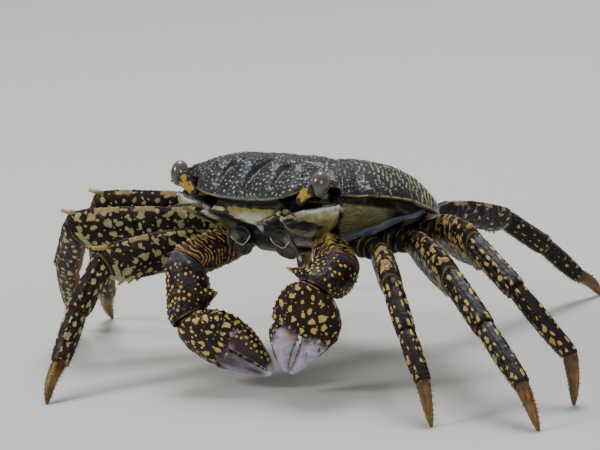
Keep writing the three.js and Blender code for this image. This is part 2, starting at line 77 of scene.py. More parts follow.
# Body walls: place from the rim (0) to the middle of the underside (1), how far in (share of
# the outline), how far down (share of the depth).
SIDE_WALL = [
    (0, 1.0, 0.0), (0.12, 0.985, 0.06), (0.25, 0.955, 0.16), (0.4, 0.87, 0.34), (0.52, 0.76, 0.52),
    (0.64, 0.64, 0.7), (0.76, 0.49, 0.86), (0.88, 0.3, 0.95), (1, 0.0, 1.0),
]
FACE_WALL = [
    (0, 1.0, 0.0), (0.1, 0.9, 0.07), (0.16, 0.872, 0.14), (0.3, 0.853, 0.33), (0.36, 0.84, 0.385),
    (0.42, 0.75, 0.43), (0.5, 0.69, 0.52), (0.62, 0.645, 0.67), (0.75, 0.55, 0.85),
    (0.88, 0.35, 0.965), (1, 0.0, 1.0),
]
ORBIT_WALL = [
    (0, 0.84, 0.04), (0.1, 0.86, 0.2), (0.18, 0.98, 0.27), (0.24, 1.08, 0.29), (0.3, 1.08, 0.36),
    (0.4, 1.0, 0.48), (0.52, 0.86, 0.62), (0.64, 0.69, 0.76), (0.76, 0.52, 0.88), (0.88, 0.3, 0.95),
    (1, 0.0, 1.0),
]
# Half width of the folded tail along the body.
FLAP_WIDTH = [
    (-2.0, 2.2), (-0.5, 3.9), (1.5, 4.8), (4, 5.7), (7, 6.6), (10.5, 7.3), (14, 7.6), (17.5, 7.3),
    (20.5, 6.4),
]

# Walking legs, numbered as the pairs behind the claws: base and start of the long segment
# (body frame, left side), segment lengths, half widths and half thicknesses.
LEG_BASE = {
    2: ((14.6, -1.2, -10.6), (22, 0, -12.5)),
    3: ((16.8, 6.6, -9.4), (25, 8.5, -9.5)),
    4: ((16.6, 14.4, -8.8), (25, 18.5, -6.2)),
    5: ((12.2, 21.2, -8.8), (20.0, 29.0, -0.8)),
}
LEG_LENGTH = {2: (31, 13.5, 13.5, 10), 3: (39, 17, 18.5, 11), 4: (39, 17, 19.4, 11), 5: (23.5, 14, 13.5, 9)}
LEG_WIDE = {
    2: (5.3, 3.1, 2.75, 1.75), 3: (5.8, 3.4, 2.9, 1.9), 4: (5.6, 3.2, 2.7, 1.9), 5: (3.5, 2.5, 2.2, 1.7),
}
LEG_THICK = {
    2: (2.7, 2.3, 2.1, 1.4), 3: (2.8, 2.5, 2.2, 1.5), 4: (2.7, 2.4, 2.1, 1.5), 5: (2.2, 2.0, 1.8, 1.3),
}
LEG_ROOT = {2: 2.6, 3: 2.8, 4: 2.7, 5: 2.2}
# Heading of the long segment from sideways toward the rear, slopes of the first three segments,
# swing of the last three off that heading, roll of the long segment's flat side.
LEG_POSE = {
    "left": {
        2: (-52, (-3, -40, -42), (9, 12, 12), 10),
        3: (-44, (-2, -30, -33), (13, 14, 14), 12),
        4: (-44, (5.5, -28, -45), (20, 38, 70), 12),
        5: (84, (-19, -38, -43), (-15, -10, -10), 35),
    },
    "right": {
        2: (-52, (-4, -41, -50), (-34, -38, -38), 12),
        3: (-33, (3, -42, -42), (72, 88, 88), 12),
        4: (-30, (6, -46, -45), (73, 87, 87), 14),
        5: (50, (-4, -52, -68), (4, 0, 0), 30),
    },
}
# Segment outlines: place along it, half width, half thickness (shares of the sizes).
THIGH = [
    (0, 0.46, 0.85), (0.13, 0.66, 0.95), (0.32, 0.9, 1.0), (0.56, 1.0, 1.0),
    (0.8, 0.98, 0.98), (0.93, 0.84, 0.93), (1, 0.58, 0.84),
]
KNEE_SEGMENT = [
    (0, 0.94, 0.96), (0.14, 1.0, 1.0), (0.5, 1.0, 1.0), (0.78, 1.02, 1.0), (0.92, 0.97, 0.97),
    (1, 0.84, 0.88),
]
SHIN = [
    (0, 0.9, 0.92), (0.16, 0.98, 0.96), (0.45, 1.0, 1.0), (0.75, 0.93, 0.95), (0.92, 0.86, 0.9),
    (1, 0.76, 0.8),
]
TOE = [
    (0, 1.04, 1.06), (0.14, 1.0, 1.0), (0.45, 0.84, 0.84), (0.75, 0.56, 0.6), (0.93, 0.3, 0.36),
    (1, 0.14, 0.2),
]
TOE_ARCH = 0.8

# Claw arms: hip in the body frame, the other joints in the lifted frame, the direction of the
# movable finger's side, and the spine of the wrist (degrees round it, place along it, height).
CLAW = {
    "left": {
        "hip": (10.6, -5.6, -11.4), "elbow": (22, -21.5, 29), "wrist": (22.2, -30.8, 25.9),
        "tip": (11.1, -28.9, 5.3), "thumb": (-0.8, -0.46, 0.38), "spine": (30, 0.84, 1.05),
    },
    "right": {
        "hip": (-10.6, -5.6, -11.4), "elbow": (-18.2, -25.1, 28.7), "wrist": (-15.3, -30.4, 16.7),
        "tip": (4.0, -26.5, 4.1), "thumb": (0.64, -0.3, 0.7), "spine": (-60, 0.78, 1.2),
    },
}
ARM_SIZE = (5.0, 4.0)
CUFF_SIZE = (5.4, 4.9)
PALM_SIZE = (8.0, 4.4)
ARM = [(0, 0.5, 0.6), (0.25, 0.78, 0.85), (0.6, 0.98, 1.0), (0.86, 1.0, 1.0), (1, 0.84, 0.9)]
CUFF = [(0, 0.74, 0.8), (0.22, 0.98, 1.0), (0.5, 1.0, 1.0), (0.78, 0.96, 0.98), (1, 0.7, 0.76)]
# Palm with the fixed finger, and the movable finger: place, lower edge, upper edge (shares of
# the half height), half thickness.
PALM = [
    (0, -0.5, 0.5, 0.62), (0.1, -0.78, 0.8, 0.86), (0.26, -0.96, 1.0, 1.0), (0.42, -0.97, 1.04, 1.0),
    (0.515, -0.87, 0.97, 0.94), (0.54, -0.84, 0.05, 0.86), (0.68, -0.66, -0.02, 0.62),
    (0.84, -0.44, -0.01, 0.44), (0.94, -0.28, 0.02, 0.3), (1, -0.12, 0.05, 0.13),
]
THUMB = [
    (0.545, 0.12, 0.93, 0.76), (0.6, 0.13, 0.97, 0.74), (0.72, 0.16, 0.84, 0.62),
    (0.85, 0.15, 0.62, 0.46), (0.95, 0.1, 0.38, 0.3), (1, 0.08, 0.22, 0.13),
]

# Eyes and mouthparts, body frame, left side.
EYE = {"centre": (20.0, -23.6, 1.9), "half": (2.15, 2.2, 3.0), "drop": 0.75}
STALK = {"start": (14.6, -23.6, -3.6), "short": (0.9, 0.35, 1.1), "radius": 1.5}
FEELER = {"start": (11.6, -24.9, -5.8), "end": (18.0, -28.8, -7.0), "radius": 0.7}
JAW_LINE = {"top": (5.6, -18.5, -10.6), "foot": (5.6, -14.6, -15.4)}
UPPER_PLATE = {
    "middle": 5.75, "drop": 2.0, "half": (3.1, 2.3), "squareness": 2.0, "thick": 0.32, "narrow": 0.55,
    "sink": 1.2,
}
LOWER_PLATE = {
    "middle": 6.3, "drop": 5.4, "half": (3.0, 2.0), "squareness": 2.3, "thick": 0.5, "lean": 0.25,
    "narrow": 0.2, "sink": 0.3,
}
OUTER_STRIP = {
    "middle": 9.3, "drop": 3.2, "half": (0.6, 2.9), "squareness": 2.2, "thick": 0.4, "lean": 0.25,
}

# Lamps, in metres: place, size, power and colour.
LAMPS = {
    "overhead": ((-0.15, 0.25, 1.0), 0.45, 9.0, (0.95, 0.98, 1.0)),
    "front_left": ((-0.75, -0.85, 0.8), 0.35, 7.0, (1.0, 0.985, 0.96)),
    "front_right": ((1.0, -0.8, 0.6), 0.4, 3.0, (1.0, 0.99, 0.97)),
}
SKY = {"colour": (0.92, 0.95, 1.0, 1), "strength": 0.42}

CAMERA = {
    "azimuth": 35.2, "elevation": 12.0, "roll": 5.0, "distance": 1100.0, "lens": 282.5,
    "aim": (-3.496, -14.334, 33.438),
}


# ---------------------------------------------------------------- colours
def paint(code):
    """A web colour as linear red, green and blue."""
    shares = [int(code[i : i + 2], 16) / 255 for i in (1, 3, 5)]
    return tuple(s / 12.92 if s <= 0.04045 else ((s + 0.055) / 1.055) ** 2.4 for s in shares)


def colour(title, note, code):
    """A colour that a user may change."""
    return FloatVectorProperty(
        name=title, description=note, subtype="COLOR", size=3, min=0, max=1, default=paint(code)
    )


def measure(title, note, default, low, high):
    """A length in metres that a user may change."""
    return FloatProperty(name=title, description=note, default=default, min=low, max=high, unit="LENGTH")


class CrabColours(bpy.types.PropertyGroup):
    """Colours of the crab's finishes."""

    shell_dark: colour("Shell, dark", "Ground colour of the shell", "#0e1016")
    shell_grey: colour("Shell, slate", "Lighter slate clouds on the shell", "#1b1f29")
    shell_fleck: colour("Shell, flecks", "Small pale flecks on the ridges", "#b4a86b")
    leg_dark: colour("Leg, dark", "Ground colour of the legs", "#100709")
    leg_brown: colour("Leg, brown", "Browner clouds on the legs", "#1f1114")
    leg_spot: colour("Leg, blotches", "Cream-yellow blotches of the legs", "#c3ad66")
    claw_dark: colour("Claw, dark", "Ground colour of the claws", "#16080b")
    claw_brown: colour("Claw, wine", "Wine-brown clouds on the claws", "#2f1211")
    claw_spot: colour("Claw, spots", "Cream spots of the claws", "#dcc568")
    finger: colour("Fingers", "Lavender white of the fingertips", "#bdb5c9")
    joint: colour("Joints", "Orange yellow of spines, lobes and joint skin", "#c08a35")
    toe: colour("Toes", "Ochre of the last leg segments", "#7c5f22")
    skin_cream: colour("Face, cream", "Cream of the lobes under the eyes", "#b9b48c")
    skin_olive: colour("Face, olive", "Olive yellow of the cheeks", "#8a8356")
    skin_dark: colour("Face, dark", "Dark bands of the face", "#15110f")
    skin_blue: colour("Flank, blue grey", "Smooth band along the flank", "#7b8998")
    eye: colour("Eye", "Brown grey of the eyes", "#5a5047")
    floor: colour("Floor", "Pale studio floor", "#cfcdc8")


class CrabSizes(bpy.types.PropertyGroup):
    """Sizes of the surface detail."""

    ridge_spacing: measure(
        "Ridge spacing", "Distance between the fine ridges of the shell", 0.00145, 0.0008, 0.004
    )
    ridge_height: measure(
        "Ridge height", "Height of the fine ridges of the shell", 0.00018, 0.0, 0.0006
    )
    blotch_spacing: measure(
        "Blotch spacing", "Distance between the blotches of the long leg segments", 0.0027, 0.001, 0.006
    )
    claw_spacing: measure(
        "Claw spot spacing", "Distance between the spots of the palms", 0.0023, 0.001, 0.006
    )


# ---------------------------------------------------------------- mathematics
def unit(vector):
    """Vectors brought to length 1."""
    vector = np.asarray(vector, float)
    return vector / np.linalg.norm(vector, axis=-1, keepdims=True)


def ease(low, high, value):
    """0 below low, 1 above high, smooth between."""
    share = np.clip((np.asarray(value, float) - low) / (high - low), 0, 1)
    return share * share * (3 - 2 * share)


def hump(value, centre, width):
    """A rounded peak of 1 at the centre."""
    return np.exp(-(((value - centre) / width) ** 2))


def wrapped(angle):
    """An angle brought between minus pi and pi."""
    return np.arctan2(np.sin(angle), np.cos(angle))


def curve(table, at):
    """A smooth curve without overshoot through a table whose first column rises."""
    rows = np.asarray(table, float)
    x, y = rows[:, 0], rows[:, 1:]
    step = np.diff(x)[:, None]
    rise = np.diff(y, axis=0) / step
    slope = np.vstack([rise[:1], np.zeros_like(rise[1:]), rise[-1:]])
    same = rise[:-1] * rise[1:] > 0
    total = np.where(same, rise[:-1] + rise[1:], 1)
    slope[1:-1] = np.where(same, 2 * rise[:-1] * rise[1:] / total, 0)
    at = np.clip(np.asarray(at, float), x[0], x[-1])
    i = np.clip(np.searchsorted(x, at, side="right") - 1, 0, len(x) - 2)
    width = step[i, 0][..., None]
    s = ((at - x[i]) / step[i, 0])[..., None]
    keep = y[i] * (1 + 2 * s) * (1 - s) ** 2 + y[i + 1] * s**2 * (3 - 2 * s)
    lean = slope[i] * s * (1 - s) ** 2 + slope[i + 1] * s**2 * (s - 1)
    return keep + lean * width


LATTICE = np.random.default_rng(7).random((17, 17, 17)) * 2 - 1
LAYERS = (1.0, 0.5)


def cloud(points, size, seed=0):
    """Smooth noise between about -1 and 1, with features of the given size and of half of it."""
    total = 0.0
    for layer, weight in enumerate(LAYERS):
        place = np.asarray(points, float) / size * 2**layer + 5.3 * (seed + 1) + 31.7 * layer
        cell = np.floor(place).astype(int)
        part = place - cell
        part = part * part * (3 - 2 * part)
        value = 0.0
        for corner in itertools.product((0, 1), repeat=3):
            share = np.prod(np.where(corner, part, 1 - part), axis=-1)
            spot = (cell + corner) % len(LATTICE)
            value = value + share * LATTICE[spot[..., 0], spot[..., 1], spot[..., 2]]
        total = total + value * weight
    return total / sum(LAYERS) * 1.6


def normals_of(points):
    """Outward normals of a grid whose columns go round and close."""
    ahead = np.roll(points[:, :-1], -1, axis=1)
    behind = np.roll(points[:, :-1], 1, axis=1)
    across = np.concatenate([ahead - behind, (ahead - behind)[:, :1]], axis=1)
    along = np.gradient(points, axis=0)
    normal = np.cross(along, across)
    length = np.linalg.norm(normal, axis=-1, keepdims=True)
    normal = np.where(length > 1e-9, normal / np.maximum(length, 1e-9), 0)
    outward = points - points.mean(axis=1, keepdims=True)
    return normal * np.sign((normal * outward).sum())


def scatter(points, spacing, seed, allowed, tries=2600):
    """Places of the allowed points of a grid that keep the spacing, in a mixed order."""
    random = np.random.default_rng(seed)
    flat = points.reshape(-1, 3)
    pool = np.flatnonzero(allowed.ravel())
    picks = random.choice(pool, min(tries, len(pool)), replace=False)
    kept = flat[picks[:1]]
    for pick in picks[1:]:
        here = flat[pick]
        if ((kept - here) ** 2).sum(axis=1).min() > spacing**2:
            kept = np.vstack([kept, here])
    return kept


NO_SPOT = 4.0  # the distance, in radii, of a point that is clear of every spot


def nearest(points, centres, radii):
    """Distance of each point of a grid to its nearest spot, in that spot's radius."""
    flat = points.reshape(-1, 3)
    best = np.full(len(flat), NO_SPOT)
    for centre, radius in zip(centres, radii):
        away = flat - centre
        best = np.minimum(best, np.sqrt((away**2).sum(axis=1)) / radius)
    return best.reshape(points.shape[:2])


def dome(distance):
    """Height of a rounded knob over a distance given in its radius."""
    return np.clip(1 - np.minimum(distance, 1) ** 2, 0, 1) ** 1.5


# ---------------------------------------------------------------- frame of the body
def turn(degrees, letter):
    """The matrix of a turn about a main axis."""
    return np.array(Matrix.Rotation(math.radians(degrees), 3, letter))


TILT = turn(BODY["yaw"], "Z") @ turn(BODY["pitch"], "X") @ turn(BODY["roll"], "Y")


def lifted(point):
    """A body frame point, tipped and lifted with the body."""
    return np.asarray(point, float) @ TILT.T + (0, 0, BODY["height"])


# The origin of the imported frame, in the lifted frame, from where it holds the left eye.
EYE_BOX = np.array([list(corner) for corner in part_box("eye_left")]) / MM
CENTRE = lifted(EYE["centre"]) - EYE_BOX.mean(axis=0)


def on_body(point):
    """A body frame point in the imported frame."""
    return lifted(point) - CENTRE


def mirrored(point, side):
    """A point of the left side, taken to the side that is given as 1 or -1."""
    return np.asarray(point, float) * (side, 1, 1)


def carried(up, old, new):
    """The upper side of a segment, carried through a bend without twisting."""
    return np.array(Vector(old).rotation_difference(Vector(new)) @ Vector(up))


def frames_along(joints, known, up):
    """Axis, upper side and cross side of each segment, from the upper side of a known one."""
    axes = unit(np.diff(joints, axis=0))
    ups = [None] * len(axes)
    ups[known] = unit(up - axes[known] * (up @ axes[known]))
    for i in range(known + 1, len(axes)):
        ups[i] = carried(ups[i - 1], axes[i - 1], axes[i])
    for i in range(known - 1, -1, -1):
        ups[i] = carried(ups[i + 1], axes[i + 1], axes[i])
    return [(axis, up, np.cross(axis, up)) for axis, up in zip(axes, ups)]


def parting(joints, frames, joint, toward):
    """The plane between two segments: a point on it, its normal, and half the clearance."""
    return joints[joint], unit(frames[joint - 1][0] + frames[joint][0]), toward * GAP / 2


def leg_joints(number, side_name):
    """The six joints of a leg, from its root to the end of its toe, which reaches the floor."""
    side = SIDES[side_name]
    heading, slopes, swings = LEG_POSE[side_name][number][:3]
    joints = [lifted(mirrored(point, side)) for point in LEG_BASE[number]]
    for k, length in enumerate(LEG_LENGTH[number]):
        level = math.radians(heading + (swings[k - 1] if k else 0))
        fall = math.radians(slopes[k]) if k < 3 else -math.asin(min(joints[-1][2] / length, 1))
        step = (side * math.cos(level) * math.cos(fall), math.sin(level) * math.cos(fall), math.sin(fall))
        joints.append(joints[-1] + np.array(step) * length)
    return np.array(joints) - CENTRE


def leg_frames(number, side_name, joints):
    """Frames of a leg's segments, from the roll of its long segment's flat side."""
    roll = LEG_POSE[side_name][number][3] * SIDES[side_name]
    axis = unit(joints[2] - joints[1])
    up = unit(np.array((0, 0, 1)) - axis * axis[2])
    up = np.array(Matrix.Rotation(math.radians(roll), 3, Vector(axis)) @ Vector(up))
    return frames_along(joints, 1, up)


def claw_joints(side_name):
    """The four joints of a claw, from its hip to its tip."""
    spec = CLAW[side_name]
    joints = [lifted(spec["hip"])] + [np.array(spec[key], float) for key in ("elbow", "wrist", "tip")]
    return np.array(joints) - CENTRE


# ---------------------------------------------------------------- grids into pieces
class Surface:
    """A grid of points in millimetres, its columns closed, with what the finishes read."""

    def __init__(self, points, lie):
        self.points = points
        self.lie = lie
        self.tint = np.zeros(points.shape[:2] + (4,))
        self.spot = np.full(points.shape[:2], NO_SPOT)
        self.crest = np.zeros(points.shape[:2])

    def swell(self, height):
        """Raises the surface along its normals."""
        self.points = self.points + normals_of(self.points) * height[..., None]

    def dab(self, code, mask):
        """Paints a colour where the mask is 1."""
        mask = np.clip(np.broadcast_to(mask, self.spot.shape), 0, 1)
        shade = np.array(paint(code) if isinstance(code, str) else code)
        here = mask[..., None]
        self.tint[..., :3] = np.where(self.tint[..., 3:] > 0, self.tint[..., :3], shade)
        self.tint[..., :3] = self.tint[..., :3] * (1 - here) + shade * here
        self.tint[..., 3] = 1 - (1 - self.tint[..., 3]) * (1 - mask)

    def coat(self, code):
        """Paints the whole surface."""
        self.dab(code, 1)


def select_only(piece):
    """Makes a piece the only selected and the active one."""
    bpy.ops.object.select_all(action="DESELECT")
    piece.select_set(True)
    bpy.context.view_layer.objects.active = piece


def wrap_grid(name, surface):
    """A grid primitive whose points are moved to the surface and whose edges are then closed."""
    rows, columns = surface.points.shape[:2]
    bpy.ops.object.select_all(action="DESELECT")
    bpy.ops.mesh.primitive_grid_add(x_subdivisions=rows - 1, y_subdivisions=columns - 1, size=1)
    piece = bpy.context.object
    piece.name = piece.data.name = name
    mesh = piece.data
    flat = np.empty(len(mesh.vertices) * 3)
    mesh.vertices.foreach_get("co", flat)
    place = flat.reshape(-1, 3) + 0.5
    row = np.rint(place[:, 0] * (rows - 1)).astype(int)
    column = np.rint(place[:, 1] * (columns - 1)).astype(int)
    mesh.vertices.foreach_set("co", (surface.points[row, column] * MM).ravel())
    for key, kind, field, values in (
        ("lie", "FLOAT_VECTOR", "vector", surface.lie),
        ("tint", "FLOAT_COLOR", "color", surface.tint),
        ("spot", "FLOAT", "value", surface.spot),
        ("crest", "FLOAT", "value", surface.crest),
    ):
        layer = mesh.attributes.new(key, kind, "POINT")
        layer.data.foreach_set(field, values[row, column].astype(np.float32).ravel())
    mesh.uv_layers[0].name = "OFBake"
    select_only(piece)
    bpy.ops.object.mode_set(mode="EDIT")
    bpy.ops.mesh.select_all(action="SELECT")
    bpy.ops.mesh.remove_doubles(threshold=SEAM_GAP)
    bpy.ops.mesh.normals_make_consistent(inside=False)
    bpy.ops.object.mode_set(mode="OBJECT")
    bpy.ops.object.shade_smooth()
    return piece


def settle(piece, material, slot, *nodes):
    """Gives a finished piece its material and body, and hides the frame nodes it stands for. The slot is not
    used.
    """
    piece.data.materials.append(bpy.data.materials[material])
    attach(piece, "root")
    if nodes:
        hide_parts(*nodes)


def stand(surface, name, material, slot, node_name):
    """Turns a surface into a piece that stands for a frame node."""
    settle(wrap_grid(name, surface), material, slot, node_name)


# Rows past the two ends: share of the first or last ring, depth off the end plane. A knee is
# a rounded cap that sits in the socket of the segment before it. A claw finger ends in a point.
NECK = [(0.0, -1.5), (0.42, -1.46), (0.62, -1.1), (0.7, -0.5), (0.78, -0.06)]
KNEE = [
    (0.0, -1.85), (0.2, -1.82), (0.42, -1.68), (0.62, -1.42), (0.78, -1.08), (0.9, -0.62), (0.97, -0.2),
]
SOCKET = [(0.95, 0.05), (0.9, -0.1), (0.86, -0.6), (0.84, -1.5), (0.7, -2.1), (0.0, -2.2)]
LIP = [(0.955, 0.03), (0.88, -0.12), (0.82, -0.6), (0.8, -1.1), (0.0, -1.2)]
FLAT_END = [(0.8, 0.0), (0.0, 0.0)]
FINGER_TIP = [(0.72, 0.12), (0.4, 0.24), (0.0, 0.28)]
FINGER_ROOT = [(0.0, -1.3), (0.5, -1.25), (0.8, -1.0), (0.93, -0.5)]
# Rows along and columns round each kind of segment.
GRID = {
    "hip": (40, 72), "thigh": (168, 112), "shin": (96, 88), "toe": (84, 64),
    "arm": (150, 132), "cuff": (120, 132), "palm": (190, 144), "thumb": (124, 112),
}


class Segment(Surface):
    """A limb segment: rows run along it, columns round it from its upper edge.

    The outline gives half sizes, or lower edge, upper edge and half thickness. The planes cut its
    two ends. Grow raises it by shares of its size. A shape may give the span of the outline that
    is used, how square the ring is, an arch, and the rows past its neck and lip.
    """

    def __init__(self, joints, frames, section, outline, size, grid, planes, grow=None, **shape):
        self.axis, self.up, self.side = frames[section]
        self.start = joints[section]
        self.length = np.linalg.norm(joints[section + 1] - self.start)
        self.planes = planes
        rows, columns = grid
        self.angle = np.linspace(0, 2 * math.pi, columns)[None, :]
        self.turn = wrapped(self.angle)
        first, last = shape.get("span", (0, 1))
        place = np.linspace(first, last, rows)
        share = curve(outline, place)
        swell = 1 if grow is None else 1 + grow(place[:, None], self.turn)
        flat = np.sign(np.sin(self.angle)) * np.abs(np.sin(self.angle)) ** shape.get("sharp", 1.15)
        if share.shape[1] == 3:
            middle = (share[:, 1:2] + share[:, 0:1]) / 2
            half = (share[:, 1:2] - share[:, 0:1]) / 2
            high = (middle + np.cos(self.angle) * half * swell) * size[0]
            broad = flat * size[1] * share[:, 2:3]
        else:
            high = np.cos(self.angle) * size[0] * share[:, :1] * swell
            broad = flat * size[1] * share[:, 1:2] * (1 + (swell - 1) * 0.15)
        ring = high[..., None] * self.up + broad[..., None] * self.side
        sides, ways = [], []
        for scale, depth in shape.get("neck", NECK):
            sides.append(self.shrunk(ring[0], scale)[None])
            ways.append(self.way_at(first, sides[-1]) + depth)
        heads = len(sides)
        sides.append(ring + (shape.get("arch", 0) * np.sin(math.pi * place))[:, None, None] * self.up)
        ways.append(self.way_at(place[:, None], ring))
        for scale, depth in shape.get("lip", LIP):
            sides.append(self.shrunk(ring[-1], scale)[None])
            ways.append(self.way_at(last, sides[-1]) + depth)
        lateral, way = np.concatenate(sides), np.concatenate(ways)
        tails = len(sides) - heads - 1
        self.t = np.concatenate([np.full(heads, -1.0), place, np.full(tails, 2.0)])[:, None]
        self.body = ((self.t >= 0) & (self.t <= 1)) * 1.0
        self.ends = (self.t - first) / (last - first)
        points = self.start + way[..., None] * self.axis + lateral
        lie = np.stack([way, lateral @ self.up, lateral @ self.side], axis=-1)
        super().__init__(points, lie)

    def way_at(self, place, lateral):
        """Distance along the axis at a place between the two end planes."""
        return (1 - place) * self.reach(0, lateral) + place * self.reach(1, lateral)

    @staticmethod
    def shrunk(ring, scale):
        """A ring drawn in toward its middle."""
        middle = ring[:-1].mean(axis=0)
        return middle + (ring - middle) * scale

    def reach(self, end, lateral):
        """How far along the axis a line beside it meets the plane at its start or end."""
        plane = self.planes[end]
        if plane is None:
            return np.full(lateral.shape[:-1], end * self.length)
        at, normal, offset = plane
        return (offset - (self.start + lateral - at) @ normal) / (self.axis @ normal)

    def off(self, direction):
        """How far round the segment each column is from the one that faces a direction."""
        facing = math.atan2(np.dot(direction, self.side), np.dot(direction, self.up))
        return wrapped(self.angle - facing)

    def relief(self, height):
        """Raises the body of the segment and leaves its two ends as they are."""
        fade = ease(0, 0.03, self.ends) * ease(0, 0.02, 1 - self.ends) * self.body
        self.swell(height * fade)

    def stain(self, code, mask):
        """Paints a colour on the body of the segment and not on its two ends."""
        self.dab(code, mask * self.body)

    def hollow(self):
        """Paints shade into the socket past the far end: a painted shadow, near black, in the recess where
        the next segment sits.
        """
        self.dab("#140b0a", (self.t > 1) * 0.95)


def tent(value, centre, width):
    """1 at the centre, falling in a straight line to 0."""
    return np.clip(1 - np.abs(value - centre) / width, 0, 1)


def blotches(surface, spacing, seed, share, allowed, stretch, taper, warp):
    """Scatters uneven spots on a segment, stretched along it.

    The share gives their radii in spacings, and the taper their size at its two ends.
    """
    along = (surface.points - surface.start) @ surface.axis
    space = surface.points - (along * (1 - 1 / stretch))[..., None] * surface.axis
    bent = [cloud(surface.points, spacing * 0.62, seed + k) for k in range(3)]
    space = space + warp * spacing * 0.5 * np.stack(bent, axis=-1)
    inside = np.broadcast_to(allowed * surface.body > 0, surface.spot.shape)
    centres = scatter(space, spacing, seed, inside)
    radii = spacing * np.random.default_rng(seed + 1).uniform(*share, len(centres))
    place = np.clip((centres - surface.start) @ surface.axis * stretch / surface.length, 0, 1)
    radii = radii * (taper[0] + (taper[1] - taper[0]) * place)
    field = np.where(inside, nearest(space, centres, radii), NO_SPOT)
    surface.spot = np.minimum(surface.spot, field)


# ---------------------------------------------------------------- shell
SHELL_COLUMNS = 720
SHELL_ROWS = 112
UNDER_ROWS = 12
RIM = [(1.002, -0.04), (1.003, -0.11), (1.001, -0.19), (0.988, -0.28)]
CORNER, TOOTH = 6, 8  # rows of the outline at the outer eye corner and the tooth behind it


def outline_at(share):
    """The shell's edge: share 0 is the middle of the front, 1 and -1 the middle of the rear."""
    walk = np.abs(share) * (len(SHELL_OUTLINE) - 1)
    point = curve([(i, *row) for i, row in enumerate(SHELL_OUTLINE)], walk)
    corner, tooth = hump(walk, CORNER, 0.22), hump(walk, TOOTH, 0.16)
    point[..., 0] += 0.5 * tooth + 0.2 * corner
    point[..., 1] -= 0.8 * corner + 0.35 * tooth
    point[..., 0] *= np.where(share < 0, -1, 1)
    return point


def even_shares(columns):
    """Shares of the outline at even distances round it."""
    fine = np.linspace(-1, 1, 4001)
    steps = np.linalg.norm(np.diff(outline_at(fine), axis=0), axis=1)
    walked = np.concatenate([[0], np.cumsum(steps)])
    return np.interp(np.linspace(0, walked[-1], columns), walked, fine)


def line_gap(points, line):
    """Distance in plan from points to a bent line."""
    best = np.full(points.shape[:-1], 1e3)
    for a, b in zip(np.array(line[:-1], float), np.array(line[1:], float)):
        along = np.clip(((points - a) @ (b - a)) / ((b - a) @ (b - a)), 0, 1)
        best = np.minimum(best, np.linalg.norm(points - a - along[..., None] * (b - a), axis=-1))
    return best


# Swellings (x, y, radius, height) and furrows (line, width, depth) of the shell, left half.
LOBES = [(3.9, -20.9, 2.9, 1.5), (11.2, -20.7, 3.0, 1.45), (8.0, -13.5, 6.5, 0.6), (17.5, 4.0, 9.0, 0.5)]
FURROWS = [
    ([(7.6, -24.4), (7.4, -17.5)], 0.9, 1.1),
    ([(0, -25), (0, -14)], 1.1, 1.2),
    ([(24, -14.5), (17, -8), (11, -5.5), (6, -0.5), (4.6, 4.5)], 1.2, 0.5),
    ([(4.6, 4.5), (6.2, 12), (9.5, 17)], 1.4, 0.36),
    ([(16.5, -18.5), (13.5, -16), (7.5, -18)], 1.3, 0.5),
]
CORNER_REACH = 5.0
GRANULE_SPACING = 0.92
GRANULE_RADII = (0.24, 0.52)


def softened(edge):
    """The outline with its corners rounded, which the shell's inner rings follow."""
    ring = edge[:-1]
    step = np.linalg.norm(np.diff(edge, axis=0), axis=1).mean()
    lag = np.arange(len(ring))
    lag = np.minimum(lag, len(ring) - lag) * step
    weight = np.exp(-((lag / CORNER_REACH) ** 2))
    weight = np.fft.fft(weight / weight.sum())[:, None]
    soft = np.real(np.fft.ifft(np.fft.fft(ring, axis=0) * weight, axis=0))
    return np.vstack([soft, soft[:1]])


